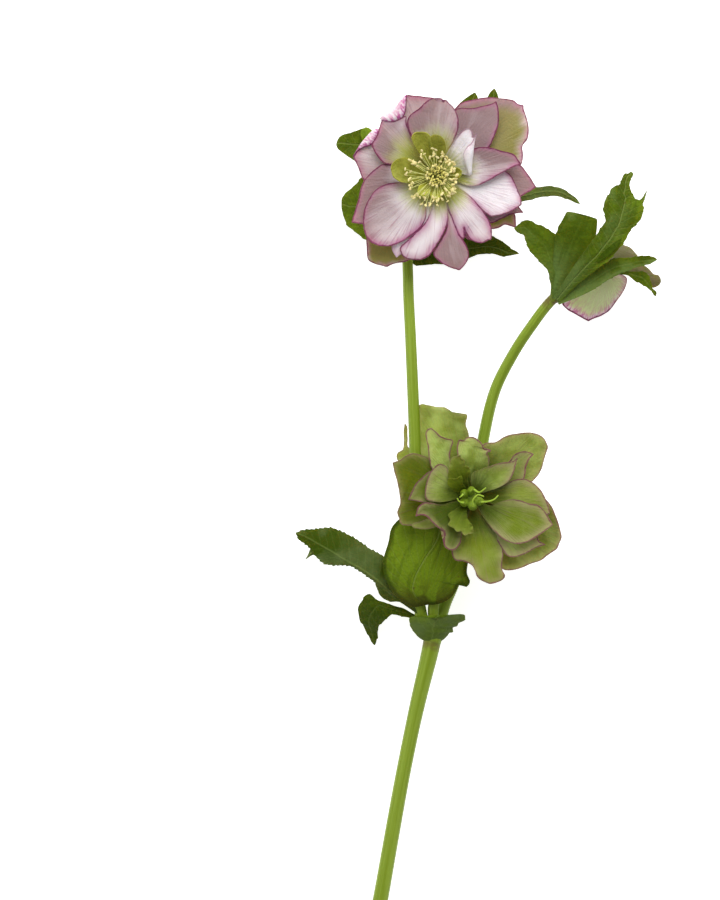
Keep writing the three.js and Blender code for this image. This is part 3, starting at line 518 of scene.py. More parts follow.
OPEN_PETALS = [
    # the outer sepals
    dict(
        left=[(2, 3.5), (3, 12), (5, 22), (9, 29), (15, 31), (21, 31.9), (27, 31.4), (31, 30.7),
              (32.6, 29.3), (34.9, 28.9)],
        right=[(4, 1), (14, 2), (25, 3), (33, 3.5), (34.7, 8), (34.5, 12.4), (36.4, 15), (37, 19.5),
               (36.1, 24), (35, 27.2), (34.9, 28.9)],
        rise=(0.9, 1.2, 1.6, 1, -0.5), edges=(0.6, 0.4), frill=0.7, tone=(0.4, 0.85, 1.1),
        lean=-0.8, trim=(1, 0, 0),
    ),
    dict(
        left=[(-1.5, 3), (-9, 13), (-17, 19.6), (-22, 23.2), (-20.6, 24.4), (-18.4, 25.2),
              (-16.2, 27.2), (-14.2, 29.6), (-12.3, 32), (-11.6, 32.7)],
        right=[(1, 3), (2, 14), (2, 24), (0.5, 30.8), (-5, 32), (-11.6, 32.7)],
        flap=(-1, [(-2.5, 4), (-9.4, 12.6), (-17, 19), (-21.8, 23), (-20.2, 22.4), (-18.2, 21.7),
                   (-15.8, 22.2), (-13.6, 23.4), (-12.6, 25), (-12.1, 27.5), (-11.9, 31.5),
                   (-11.6, 32.4)]),
        rise=(0.9, 1.6, 2.4, 3, 3.2), edges=(0.8, 0.2), tone=(0.9, 0.12, 0.85), lean=0.4,
    ),
    dict(
        left=[(-3, 0), (-14, -3), (-24, -4), (-29, -1.4), (-31, 3.2), (-33.2, 8)],
        right=[(-2.5, 2.5), (-12, 11), (-19, 17), (-22.6, 18.6), (-24.4, 18.4), (-26.2, 17),
               (-28.4, 14.6), (-30.3, 12.1), (-32.3, 9.7), (-33.2, 8)],
        flap=(1, [(-3, 2.5), (-12, 10.6), (-19, 16.4), (-22.8, 17.8), (-23.6, 16), (-24.6, 14),
                  (-26.6, 12.4), (-29.5, 11.4), (-31.8, 10), (-33, 8.3)]),
        rise=(0.9, 1.4, 1.8, 1.8, 1.9), edges=(0.2, 0.8), tone=(0.9, 0.1, 0.65), lean=-0.6,
    ),
    dict(
        left=[(0, -3), (-4, -14), (-7, -24), (-9, -31), (-11.4, -33.6), (-15.4, -34.3), (-18, -35),
              (-19.8, -35.9)],
        right=[(-2.5, -2), (-12, -10), (-22, -17), (-27.5, -22.5), (-27.8, -28), (-27.2, -33.2),
               (-25, -34.5), (-22.5, -35.2), (-19.8, -35.9)],
        rise=(0.9, 1.2, 1.2, 0.4, -1.5), frill=0.6, tone=(0.1, 1.25, 0.3), trim=(1, 2.2, 0),
    ),
    dict(
        left=[(3, -1), (16, -5), (27, -10), (31.4, -14.6), (31.9, -17.6), (32, -20.3)],
        right=[(2, -2.4), (8, -12), (15, -20), (21.5, -20.9), (25, -20.3), (27.4, -19), (29.6, -19.4),
               (32, -20.3)],
        rise=(0.9, 1, 1, 0, -2), tone=(0.1, 1.8, 0.3), trim=(1, 2.2, 0),
    ),
    # the middle layer
    dict(
        left=[(-2.5, -1.5), (-10, -10), (-20, -17), (-27, -19.2), (-31, -18.8), (-33.9, -18.3)],
        right=[(-3, 0.5), (-10, 3.5), (-17, 4.8), (-21.3, 5), (-25, 2.6), (-28.8, -1.4), (-30.2, -4.6),
               (-31.1, -9), (-32.5, -13.4), (-33.9, -18.3)],
        rise=(2, 2.8, 3.6, 4, 4.5), edges=(0.3, 0.8), tone=(0.5, 0, 1.35),
    ),
    dict(
        left=[(-2.8, 1), (-10, 3), (-17, 4.6), (-21, 5.3), (-23.6, 8), (-25.4, 11.2), (-26, 12.8),
              (-24.6, 14.8), (-23.6, 17), (-22.4, 21), (-21.6, 23)],
        right=[(-1.2, 3), (-5, 9), (-9.3, 15.2), (-11.2, 19), (-11.9, 22), (-12.1, 24.2), (-13.4, 23.8),
               (-15.8, 22.5), (-18.2, 22), (-20.2, 22.6), (-21.6, 23)],
        rise=(2, 3.4, 4.4, 4.8, 5), edges=(1.2, 1), tone=(0.3, 0.3, 1.1), lean=-0.35, trim=(1, 0.9, 0),
    ),
    dict(
        left=[(1.2, 3), (4, 12), (6, 20), (8, 27), (11, 27.3), (15, 27.4), (19.5, 28.4), (22.6, 29.3),
              (23.8, 30.1)],
        right=[(2.6, 2), (9, 6), (16, 8.6), (20.8, 11.4), (23, 15.6), (24.6, 20), (25, 24), (24.6, 27.6),
               (23.8, 30.1)],
        rise=(2, 3, 4, 4.4, 4.5), edges=(0.3, 0.9), tone=(0.5, 0, 1.25),
    ),
    dict(
        left=[(3, 0.6), (14, 4), (25, 6), (33.4, 4.8), (36, 2), (38.4, -1.6), (39.9, -4)],
        right=[(3, -0.8), (14, -6), (25, -9.5), (33, -8.2), (36, -6.6), (38.4, -5.2), (39.9, -4)],
        rise=(2, 2.8, 3.2, 2.6, 1.5), edges=(0.3, 0.3), tone=(0.5, 0, 1.4),
    ),
    dict(
        left=[(3, -1), (14, -4), (25, -8), (32.4, -11.4), (33.8, -12.8), (34.9, -14.3)],
        right=[(2.4, -2), (9, -9), (16, -15.5), (21.6, -18.6), (26, -16.8), (30, -15), (33, -14.4),
               (34.9, -14.3)],
        rise=(2, 2.4, 2.6, 1.8, 0.5), tone=(0.9, 0.1, 1.1),
    ),
    dict(
        left=[(2, -2.8), (5, -11), (7.5, -19), (9, -23), (11, -25.8), (12.6, -29), (13.1, -31.5),
              (12.2, -34), (10.6, -36.2), (9.2, -37.4)],
        right=[(0.8, -3), (3, -14), (4.2, -20), (2.6, -24), (0.6, -27.5), (-1.4, -30.6), (0.4, -33.2),
               (3.4, -35.4), (6.5, -36.6), (9.2, -37.4)],
        rise=(2.4, 3.8, 5.2, 4.4, 2.4), edges=(0.1, -0.4), tone=(0.6, 0, 1.15), lean=0.25,
        trim=(1, 0.2, 0),
    ),
    dict(
        left=[(0, -3), (0.6, -9), (-0.6, -14), (-3.4, -19), (-8, -25), (-13, -30), (-15.9, -32.4)],
        right=[(-2, -2.5), (-10, -11), (-16, -20), (-18, -28), (-16.8, -31), (-15.9, -32.4)],
        rise=(2.4, 4, 5.4, 5.6, 4.4), tone=(0.5, 0, 0), trim=(0.3, 0, 0),
    ),
    dict(
        left=[(1.2, -3), (7, -13), (11.5, -21), (13.2, -23.4), (13.8, -25), (13.6, -25.5)],
        right=[(0.8, -3), (4, -12), (8, -20), (10.6, -23), (12.4, -25), (13.6, -25.5)],
        rise=(2.4, 3.4, 4.2, 4.2, 4), tone=(1.1, 0, 1.12),
    ),
    # the inner layer
    dict(
        left=[(-2.4, 2.2), (-6, 8), (-9.4, 14.6), (-11.3, 18.8), (-11.8, 21.8), (-10.6, 24.2),
              (-7, 27), (-4.4, 29.4), (-2.2, 30.8), (0.6, 31)],
        right=[(0.4, 3), (4, 9), (7, 14.4), (8.6, 19), (8.7, 22.6), (7.4, 26.4), (5.2, 29), (3.6, 30.4),
               (2.7, 29.7), (2.2, 30.8), (0.6, 31)],
        rise=(3.2, 5.2, 7, 8, 8.8), edges=(1.2, 1.2), lines=72, tone=(0.5, 0.15, 1.1), lean=-0.3,
        trim=(1, 0.6, 0),
    ),
    dict(
        left=[(2.6, 2), (8, 6), (13, 10.2), (17, 11.6), (21, 11.4), (26, 10), (30.8, 8.7), (32.4, 6.6),
              (33.8, 4.7)],
        right=[(3, 0.2), (8, -2), (12.4, -3.7), (16, -3.8), (20, -2.2), (24.4, 0.3), (28.4, 2.4),
               (31.4, 4), (33.8, 4.7)],
        rise=(3.2, 5, 6.4, 7.6, 8.2), edges=(1.2, 0.4), tone=(0.7, 0.05, 1.12), lean=-0.6,
        trim=(1, 0.2, 0),
    ),
    dict(
        left=[(3, 0.6), (12, 1.5), (20, 2), (27.6, 2.2), (29.8, 0.3), (31.2, -2.2), (32.6, -5.6),
              (33.8, -8.4), (34, -11.3)],
        right=[(2.6, -2), (7.6, -5.6), (12.6, -9), (16.6, -12), (19.6, -14.6), (21.6, -16), (25, -15.6),
               (28.4, -14.6), (31.2, -13.2), (34, -11.3)],
        rise=(3.2, 4.2, 4.8, 5.4, 5.6), edges=(-0.6, 0.2), tone=(0.5, 0, 0), trim=(1, -0.3, 0),
    ),
    dict(
        left=[(2.6, -2), (9, -4.6), (12.6, -7), (16, -10.4), (19.2, -14.6), (21.4, -18.4),
              (22.1, -21.5), (21.8, -25.2), (20.8, -25.5), (19.2, -26.3)],
        right=[(1.4, -3), (3.6, -9), (5.6, -15), (7.4, -20), (8.6, -23.2), (9.8, -24.4), (11, -25),
               (11.2, -22.8), (11, -20.4), (12, -22.8), (13.2, -24.8), (15.8, -26.3), (18, -26.6),
               (19.2, -26.3)],
        rib=[(2, -2.8), (7, -9), (11, -14), (14.4, -18), (16.6, -21.6), (18.6, -24.6), (19.2, -26.3)],
        rise=(3.2, 4.8, 5.8, 5.8, 5.2), edges=(0.2, -0.8), lines=64, tone=(0.7, 0, 0.3),
        trim=(1, 0.2, 0),
    ),
    dict(
        left=[(0.8, -3), (3.6, -9), (4.6, -14), (4.5, -18.5), (3, -22.5), (0.5, -27), (-1.5, -30),
              (-3.5, -32.2), (-7, -33.3), (-10, -33.2)],
        right=[(-1, -3), (-1.2, -9), (-2.4, -14), (-4.6, -18.6), (-8.5, -22.6), (-12, -26),
               (-14.6, -28.6), (-14, -31), (-12.4, -32.6), (-10, -33.2)],
        rise=(3.2, 5.2, 6.2, 6.2, 5), edges=(-0.4, 0.4), tone=(0.7, 0, 0.22), trim=(1, 0.1, 0),
    ),
    dict(
        left=[(-3, -4), (-5, -9), (-4, -13), (-4.3, -17), (-6.5, -20.8), (-10, -23.6), (-14, -26.2),
              (-18.5, -27.9), (-22.5, -27.8), (-26.2, -26.4)],
        right=[(-4, -3), (-12, -2.2), (-19, -2.8), (-23.5, -4.8), (-26.8, -8.8), (-28.8, -13.5),
               (-29.3, -18.5), (-28.4, -23.3), (-26.2, -26.4)],
        rise=(3.2, 5, 6.4, 7, 7.2), edges=(0.2, 1.2), tone=(0.8, 0, 0.75), lean=0.6, trim=(1, 0.2, 0),
    ),
    dict(
        left=[(1.4, 2.8), (4, 9), (6.8, 13.4), (8.7, 16.4), (10.8, 18.3), (12.9, 18.8), (14.1, 17.8),
              (14.5, 16.4), (14.6, 15.4), (15.2, 16), (15.8, 16.7)],
        right=[(2.8, 1.6), (8, 1.5), (12.6, 0.6), (13.4, 0.8), (13.6, 4.5), (14, 8.8), (14.3, 11.7),
               (15, 14.2), (15.8, 16.7)],
        flap=(1, [(2.8, 1.5), (8, 1.4), (12.4, 0.7), (12.2, 2.5), (11.6, 4.5), (10.6, 8.2),
                  (11.6, 10.8), (13.8, 13), (15.7, 16.4)]),
        rise=(3.2, 5.2, 7.4, 9.6, 10.6), edges=(1, 1.4), tone=(0, 0, 0), frill=0.2, lines=64,
        trim=(0.8, -0.3, 0),
    ),
]

GREEN_PETALS = [
    # the outer sepals
    dict(
        left=[(-1.6, 2.6), (-10, 7), (-18.4, 13.6), (-20.6, 21), (-20.8, 30), (-19.9, 37.1), (-17, 36.8),
              (-13.6, 36.1), (-10, 35.9)],
        right=[(0.6, 3), (0.6, 12), (-0.6, 20), (-0.4, 24.6), (-1.6, 29), (-1.1, 33), (-3.6, 33.1),
               (-5.4, 33), (-8, 34.6), (-10, 35.9)],
        rise=(0.9, 0.2, -0.8, -2.4, -4), edges=(-5.5, 0), frill=1.2, crumple=1.2, tone=(0.2, 0.2, 0.45),
        lean=0.8, trim=(0.3, 0.6, 0.95),
    ),
    dict(
        left=[(1.8, 2.6), (3, 14), (5.4, 21.4), (10, 21.9), (14.4, 24.5), (19.4, 25.5), (24.6, 25.8),
              (28.6, 24.4), (30.6, 21.8), (31.2, 19.8)],
        right=[(3, 1), (14, 3), (23, 5), (26.4, 7.8), (28.5, 11), (29.5, 14.2), (30.2, 17.2),
               (31.2, 19.8)],
        rise=(0.9, 0.6, 0, -0.8, -2), frill=1.3, crumple=1, tone=(0.35, 0, 0.4), lean=-0.4,
        trim=(0.9, 1.2, 0.8),
    ),
    dict(
        left=[(3, -0.5), (16, 0), (28, 0.8), (32.4, -3.4), (34.6, -8.4), (36, -13), (36.6, -16.3),
              (35.4, -19), (34.6, -20.8)],
        right=[(1.8, -2.6), (6, -14), (10, -24), (12.8, -28.8), (16, -29.3), (21, -28.1),
               (24.6, -26.5), (28.4, -25.3), (31.4, -22.9), (34.6, -20.8)],
        rise=(0.9, 0.8, 0.6, 0.4, 0), frill=1.3, crumple=1, tone=(0.4, 0.1, 0.5), lean=-1,
        trim=(1, 0.6, 1),
    ),
    dict(
        left=[(-3, 2), (-14, 9), (-24, 12), (-28.8, 14.5), (-29.2, 17.4), (-26.9, 19), (-26.4, 22),
              (-26.5, 26), (-26, 29.6)],
        right=[(-2.2, 2.6), (-12, 13), (-20, 18), (-24.6, 20), (-24.9, 24), (-25, 28), (-26, 29.6)],
        rise=(0.9, -2.6, -7.4, -9.6, -11.6), tone=(0.1, 0.3, 0.2), trim=(0.5, -0.5, 0.5),
    ),
    dict(
        left=[(-2.6, -1.6), (-12, -8), (-20, -11), (-27.8, -10.8), (-28.4, -8.6), (-29.2, -6),
              (-28, -3.2), (-28.2, 1), (-29, 5.5), (-30.2, 9.6), (-31, 13.8)],
        right=[(-2.4, 2), (-10, 9), (-16.6, 15.6), (-19.6, 16.8), (-23, 17.6), (-25.4, 16.7),
               (-28, 14.9), (-31, 13.8)],
        rise=(0.9, 2, 2.8, 4.2, 5), edges=(0.4, 0.6), frill=1, crumple=1, tone=(0.3, 0, 0.65),
        trim=(0.6, 0.6, 0),
    ),
    # the middle layer
    dict(
        left=[(3, -1), (14, -8), (24, -12), (26.6, -15.6), (27.4, -17.4), (30, -18.9)],
        right=[(2, -2.4), (8, -13), (12.6, -20.5), (14.4, -23.2), (17.4, -23.8), (22, -22.4),
               (26.6, -19.9), (30, -18.9)],
        rise=(2, 3.6, 5, 6.2, 7), tone=(1.1, 0.1, 0), trim=(1, -0.8, 1.2),
    ),
    dict(
        left=[(2.8, 1), (8, 3), (13, 4.6), (17.4, 6.8), (21, 7.4), (25, 5.8), (28.2, 2.6), (30, -0.8),
              (31.2, -4), (31.6, -6.6)],
        right=[(3, -0.4), (12, -4), (22, -6), (29, -7.5), (31.6, -6.6)],
        rise=(2, 3.4, 4.8, 5.8, 6.6), edges=(0.8, 0.4), tone=(0.9, 0.3, 0.1), trim=(1, 0.5, 0.3),
    ),
    dict(
        left=[(2.4, 1.8), (10, 9), (15.6, 14.4), (17.6, 17), (20.4, 18.2), (23.4, 18), (25.3, 17.2)],
        right=[(2.8, 1), (12, 3), (20, 5.4), (21.8, 8.6), (22.2, 12), (23.6, 15.2), (25.3, 17.2)],
        rise=(2, 2.8, 3.4, 4, 4.6), edges=(1, 1.2), tone=(0.9, 0, 0.3), trim=(1, 0, 0.6),
    ),
    dict(
        left=[(-0.8, 3), (-3.4, 9), (-4.8, 15), (-5.4, 20), (-4.4, 23), (-2.8, 22.7), (-1.2, 23.9),
              (1, 24)],
        right=[(0.9, 3), (4, 7), (7, 11.4), (7.6, 15.4), (6.6, 17.6), (8.4, 18.4), (7.4, 19.2),
               (5.8, 19.2), (4.4, 21.6), (2.6, 23.2), (1, 24)],
        rise=(2, 3.2, 4.4, 5.4, 6), edges=(0.8, 1), frill=0.6, tone=(0.25, 0.3, 0.24), lean=0.9,
        trim=(1, 0.2, 1.1),
    ),
    dict(
        left=[(-2, 2.4), (-9, 7), (-15, 10.6), (-16.4, 15), (-17, 20), (-17.9, 25.6), (-16.9, 27.2),
              (-15.4, 27.5)],
        right=[(-0.8, 3), (-5, 9), (-8, 14.6), (-7.8, 19), (-7, 22.6), (-9.4, 23.4), (-11.8, 24.3),
               (-13.6, 25.9), (-15.4, 27.5)],
        rise=(2, 4, 5.2, 6.2, 7), edges=(0.6, 0.8), tone=(0.15, 0.4, 0.24), lean=0.9, trim=(1, 0, 1.5),
    ),
    dict(
        left=[(-1.4, -2.6), (-8, -9), (-14, -12), (-18, -12.8), (-21, -12.4)],
        right=[(-2.4, -1.8), (-12, -7), (-20, -9.6), (-23.4, -10.8), (-22.8, -12), (-21, -12.4)],
        rise=(2, 3, 4, 4.8, 5.5), tone=(0.3, 0.6, 0), trim=(0.4, 0, 0.3),
    ),
    dict(
        left=[(1.4, -2.8), (4, -7), (7.4, -11), (11, -14.8), (12.9, -18.6), (13, -23), (12.6, -28.6),
              (13.9, -31.4), (12.8, -33), (10.4, -34.1), (7.8, -34.6)],
        right=[(-0.6, -3), (-3, -10), (-6, -17), (-7.5, -22), (-5.8, -25.3), (-3, -25.4),
               (0.6, -27.2), (2, -29.6), (2.4, -31.4), (5, -33.5), (7.8, -34.6)],
        rise=(2.6, 4.2, 5, 5.2, 4.6), edges=(-0.3, -0.7), frill=1.1, crumple=0.9,
        tone=(0.6, 0.1, 0.12), lean=-0.9, trim=(1, 0.7, 0.25),
    ),
    dict(
        left=[(-2.6, -1), (-10, -3.5), (-17, -2.6), (-21, -1.6), (-24.9, -1)],
        right=[(-2.4, 1.6), (-9, 7), (-15.8, 10.4), (-19.4, 7.8), (-21.8, 5.4), (-23.4, 2.2),
               (-24.9, -1)],
        rise=(2.2, 4.4, 6, 7, 8), edges=(0.4, 0.8), tone=(0.7, 0, 0.5), lean=0.3, trim=(1, 0.2, 0),
    ),
    # the inner layer
    dict(
        left=[(3, -0.6), (8, -3.4), (12, -1.8), (16.4, -0.7), (20, -1.2), (23.4, -2.5), (26.6, -3),
              (29.2, -5.2), (31, -8), (32.7, -10.9)],
        right=[(2.4, -2), (5.4, -8), (9, -13), (13.4, -17), (18, -18.5), (22.4, -17.8),
               (26.4, -15.6), (29.6, -13.3), (32.7, -10.9)],
        rise=(3.2, 6, 8, 9.6, 10.6), edges=(1.2, 0.8), tone=(1.2, 0, 0.22), trim=(1, 0.35, 0.2),
    ),
    dict(
        left=[(0.6, 3), (0.1, 6), (0.6, 9.4), (3.4, 10.9), (8, 12.4), (12.4, 13.8), (16.6, 14.2),
              (18.6, 15.7)],
        right=[(2.8, 1), (7, 2.4), (11.6, 4), (15, 6.2), (16.8, 9), (17.8, 12), (18.6, 15.7)],
        rise=(3.2, 5, 6.4, 8, 9.6), edges=(1.2, 1.4), tone=(1.2, 0.1, 0.1), trim=(0.9, -0.2, 0.8),
    ),
    dict(
        left=[(-2.8, -0.2), (-9, -1.6), (-14, -1.9), (-17.8, -0.6), (-18.2, 2.4), (-17.4, 6.6),
              (-16, 10), (-13.6, 12.8)],
        right=[(-1.8, 2.2), (-5, 5), (-8.2, 7), (-8.8, 9.6), (-9.3, 11.9), (-11, 13.1),
               (-12.4, 13.2), (-13.6, 12.8)],
        rise=(3.2, 6.2, 8.4, 9.4, 10), edges=(0.6, 0.6), tone=(1.1, 0.2, 0.12), lean=0.9,
        trim=(1, -0.3, 0.7),
    ),
    dict(
        left=[(0.6, -3), (-1.4, -9), (-3.4, -15), (-4.2, -18.6), (-6.2, -20.8), (-8.2, -21),
              (-10.4, -19.6), (-10.7, -17), (-10.2, -15), (-10.6, -13.4), (-13, -12), (-15.6, -9.6),
              (-17.4, -7.6), (-19.6, -7), (-21.9, -7.6)],
        right=[(-2.8, -0.6), (-8, -2), (-12, -3), (-15.6, -2.2), (-19, -2.3), (-21, -4.2),
               (-21.9, -7.6)],
        rib=[(-1.4, -2), (-5, -5), (-8.6, -7.6), (-12.6, -7.4), (-17, -5), (-21.9, -7.6)],
        rise=(3.2, 6, 8, 9.6, 10.6), edges=(0.6, 0.8), frill=0.9, lines=60, tone=(1.1, 0, 0.8),
        trim=(1.2, 0.7, 0.4),
    ),
    dict(
        left=[(-0.6, -2.8), (-1.6, -6), (-0.8, -9), (0.8, -11.2), (0.9, -14.2)],
        right=[(-2, -2.4), (-5.6, -4.6), (-9, -7), (-8.2, -9.2), (-9, -10.8), (-7, -12.2),
               (-5.6, -13.5), (-4, -13.6), (-2.3, -14.9), (-0.8, -14.4), (0.9, -14.2)],
        rise=(3.6, 6.8, 9.2, 10.6, 11), edges=(1, 1), frill=1.6, crumple=1.5, ragged=0.4, lines=60,
        tone=(0.2, 0.4, 0.25), trim=(0.3, -0.2, 0.1),
    ),
    dict(
        left=[(-2, 2.4), (-6, 5), (-8.7, 7.8), (-8.3, 12), (-7.8, 15.2), (-6, 16.3), (-4.2, 16.8)],
        right=[(-0.6, 3), (-0.8, 5), (-1.1, 7.4), (-0.1, 9.8), (-0.7, 12.1), (-2.4, 13), (-2.3, 14.6),
               (-3.4, 15.2), (-4.2, 16.8)],
        rise=(3.2, 6, 8.6, 10.6, 12), edges=(0.6, 1), frill=1.4, ragged=0.4, lines=60,
        tone=(0.2, 0.3, 0.2), trim=(0.3, -0.4, 0.1),
    ),
    dict(
        left=[(-2.4, 1), (-6, 2.4), (-9, 5), (-9, 7.4), (-6.6, 7.2), (-4, 8.6)],
        right=[(-1, 2.4), (-2.2, 4.2), (-3.2, 5.4), (-2.9, 7), (-4, 8.6)],
        rise=(3.6, 7.4, 10, 11.6, 12.6), frill=0.6, ragged=0.3,
        tone=(0.1, 0.3, 0.2), trim=(0.2, -0.6, 0),
    ),
]

NODDING_PETALS = [
    # the outer sepals, whose backs show
    dict(
        left=[(3.4, 1.6), (6.6, 0.6), (9.1, -0.8), (9, -3.4), (7.4, -7), (4.6, -11), (2.4, -13.8),
              (-0.4, -15.7), (-3, -16.6), (-5.6, -17.9)],
        right=[(-3.4, 1.6), (-9, -3), (-14, -8), (-16.6, -10.9), (-14, -13.4), (-11, -15),
               (-7.6, -16.8), (-5.6, -17.9)],
        rise=(-0.4, 2.6, 7.4, 14, 20.8), edges=(2.5, 2.5), tone=(0.75, 1.1, 0), trim=(6, 0, 0),
    ),
    dict(
        left=[(-1, 2.6), (-1, 7.6), (1.4, 11), (4.8, 12.5), (8.4, 12.8)],
        right=[(2, 2), (8, 3.5), (14, 7.2), (12.6, 9.8), (10.8, 11.8), (8.4, 12.8)],
        rise=(0.9, 2.4, 5.6, 10.5, 16), edges=(2, 2), tone=(0.1, 1, 0.35), trim=(0, -1.5, 1),
    ),
    dict(
        left=[(2.8, 1.4), (8, 3.8), (15, 4.6), (18.2, 3), (20.4, 0.9), (22.2, 0.5), (23.2, -1),
              (23.4, -2.1)],
        right=[(2.8, 0.2), (8, 0.8), (13, 0.2), (16.6, -2), (19.8, -4.5), (21.6, -4.1), (22.8, -3.3),
               (23.4, -2.1)],
        rise=(0.9, 2.2, 5.2, 9.6, 14.4), edges=(1.2, 1.2), tone=(0.1, 1, 0.35), trim=(0, -1.5, 1),
    ),
    dict(
        left=[(-2.4, 1.2), (-8, -1), (-13, -3), (-16.4, -5.4), (-17, -7), (-15.6, -4.6)],
        right=[(-1.6, 2.4), (-7, 7), (-12, 7), (-15, 3), (-16.4, -1), (-15.6, -4.6)],
        rise=(0.9, 3, 7.6, 14, 20.8), edges=(2, 2), tone=(0.3, 0.3, 0.3),
    ),
    dict(
        left=[(-2.2, 1.6), (-9, 6), (-14, 8), (-13, 12), (-10, 12)],
        right=[(-0.6, 2.6), (-2, 8), (-3, 12), (-6, 13), (-10, 12)],
        rise=(0.9, 3, 7.6, 14, 20.8), edges=(2, 2), tone=(0.3, 0.3, 0.3),
    ),
    # the inner petals
    dict(
        left=[(-0.8, 3), (0, 8), (3, 11), (6, 11), (8.2, 10)],
        right=[(1.4, 2.6), (6, 3), (10, 4), (10.6, 7.6), (8.2, 10)],
        rise=(3.2, 8, 13.5, 18, 20.4), edges=(0.4, 0.4), tone=(0.5, 0, 0),
    ),
    dict(
        left=[(2.6, 0), (5, 1), (7.6, 0.6), (8.4, -1.2), (7.6, -3)],
        right=[(1.8, -2.2), (2.4, -4), (4, -5.4), (6, -5), (7.6, -3)],
        rise=(3.2, 8, 13.5, 18, 20.4), edges=(0.4, 0.4), tone=(0.5, 0, 0),
    ),
    dict(
        left=[(1, -2.4), (3.4, -5), (4, -9), (1.6, -12), (-1.8, -11.6)],
        right=[(-1.2, -2.4), (-4, -5), (-6, -8), (-5, -11.4), (-1.8, -11.6)],
        rise=(3.2, 8, 13.5, 18, 20.4), edges=(0.4, 0.4), tone=(0.5, 0, 0),
    ),
    dict(
        left=[(-2.2, -1.4), (-6, -5.4), (-10, -7), (-12.6, -5.4), (-11.6, -2.6)],
        right=[(-2.6, 0.8), (-6, 2.6), (-10, 3), (-12.4, 0.4), (-11.6, -2.6)],
        rise=(3.2, 8, 13.5, 18, 20.4), edges=(0.4, 0.4), tone=(0.5, 0, 0),
    ),
]

# The nectaries are small flattened cups round the stamens of the open flower.
NECTARIES = [
    dict(
        left=[(-1.4, 2.9), (-6, 8), (-9.4, 13), (-9.9, 15.4), (-8.6, 17), (-6.5, 17.2)],
        right=[(-0.2, 3.2), (-0.8, 9), (-2, 13), (-2.6, 15.6), (-4.4, 17), (-6.5, 17.2)],
        rise=(0.4, 2.4, 4.6, 6.4, 7.6), edges=(1.1, 1.1), frill=0.1, crumple=0.15, tone=(0, 1, 0),
    ),
    dict(
        left=[(-3.1, -0.6), (-9, -2.4), (-14, -2.5), (-17, -0.6), (-18.1, 2.4)],
        right=[(-3, 1.2), (-8, 5.4), (-12, 7.2), (-16, 6.4), (-17.8, 4.4), (-18.1, 2.4)],
        rise=(0.4, 2, 3.6, 5, 6), edges=(1.1, 1.1), frill=0.1, crumple=0.15, tone=(0, 1, 0),
    ),
    dict(
        left=[(-0.4, 3.2), (-1.8, 8), (-3, 12), (-3, 14.6), (-1.6, 16), (0.2, 16.2)],
        right=[(1.2, 3), (3, 8), (3.6, 11), (3.2, 13.6), (2, 15.4), (0.2, 16.2)],
        rise=(0.4, 2.2, 4, 5.6, 6.4), edges=(1.1, 1.1), frill=0.1, crumple=0.15, tone=(0.3, 1, 0),
    ),
]
RING_HALF, RING_ROOT = 2.4, 3.2  # a smaller cup's half width, and its root's distance from the axis
# where the tip of each smaller cup stands and how pale it is; the paler cups at the left and bottom are
# painted light against the filaments' shade over them
RING_NECTARIES = [
    ((10, 1.4, 4.5), 0), ((6.2, -8, 4.5), 0.5), ((-6.8, -7.4, 4.5), 1), ((-0.4, -9.6, 4.2), 1),
]

# ------------------------------------------------------------------ leaves, in the object's own place

LEAF_LEFT = [
    dict(
        left=[(-22.6, -45.4), (-27, -42.4), (-31.4, -39.2), (-36.4, -35.2), (-41, -31.6), (-46, -28),
              (-51, -25.1), (-56, -24.9), (-60.6, -24.6), (-63.8, -22.4), (-66, -19.4),
              (-68.4, -16.9), (-71.2, -15), (-73.1, -12)],
        right=[(-20.4, -43), (-24.6, -40), (-29.6, -32.6), (-33.6, -26.2), (-37.6, -21.4),
               (-43, -18.4), (-48.4, -14.6), (-54, -11.7), (-59, -10), (-64.4, -10.5),
               (-69.6, -10.9), (-73.1, -12)],
        rib=[(-21.5, -44.2), (-27, -41), (-33, -37.2), (-39.6, -31.6), (-46, -27), (-52.4, -23.4),
             (-58, -19.8), (-64, -16.4), (-69, -13.6), (-73.1, -12)],
        rise=(15.8, 16.4, 15.8, 15.2, 14.2, 12.4, 10.4, 8), edges=(-0.8, -1.4), teeth=34, bite=0.75,
        under=True, tone=(0, 0, 1.7), trim=(0.7, 0, 0),
    ),
    dict(
        left=[(-57, -25), (-60, -23.6), (-64, -22), (-65.4, -20.9), (-67, -21.4), (-69, -22.7)],
        right=[(-57, -18), (-60, -18), (-65, -17.6), (-66.8, -18.2), (-67.6, -20), (-69, -22.7)],
        rise=(11, 10.4, 9.6, 9.2), edges=(-0.3, -0.3), under=True, tone=(0, 0.4, 0.2),
    ),
]
LEAF_BACK = [
    dict(
        left=[(-22, -43.4), (-29, -40.4), (-32.4, -39.6), (-35, -39.6), (-37.6, -38.4),
              (-39.6, -35.6), (-40.8, -31.6)],
        right=[(-21, -41.6), (-30, -35), (-36, -31), (-40.8, -31.6)],
        rise=(11, 9.8, 8.6, 7), teeth=5, bite=0.5, under=True, tone=(0, 1.3, 0),
    ),
]
LEAF_HANGING = [
    dict(
        left=[(-21.6, -47.6), (-26, -46.4), (-30, -45.5), (-34.2, -44.8), (-37, -47), (-39.3, -49.4),
              (-39.9, -52), (-40.2, -55), (-41.1, -57.7)],
        right=[(-21, -45.6), (-25.4, -44.6), (-29.4, -42.4), (-33.6, -41.3), (-37.2, -39.9),
               (-40.2, -39.1), (-43.2, -36.7), (-46.2, -39.4), (-47.7, -42.6), (-46.8, -47),
               (-44.8, -51), (-43.2, -54.2), (-42.2, -56.4), (-41.1, -57.7)],
        rise=(12.8, 13, 13, 12, 8.4, 4, 0.6), edges=(-0.4, -0.8), teeth=9, bite=0.5, tone=(0, 0, 0),
        trim=(0.5, 0, 0),
    ),
]
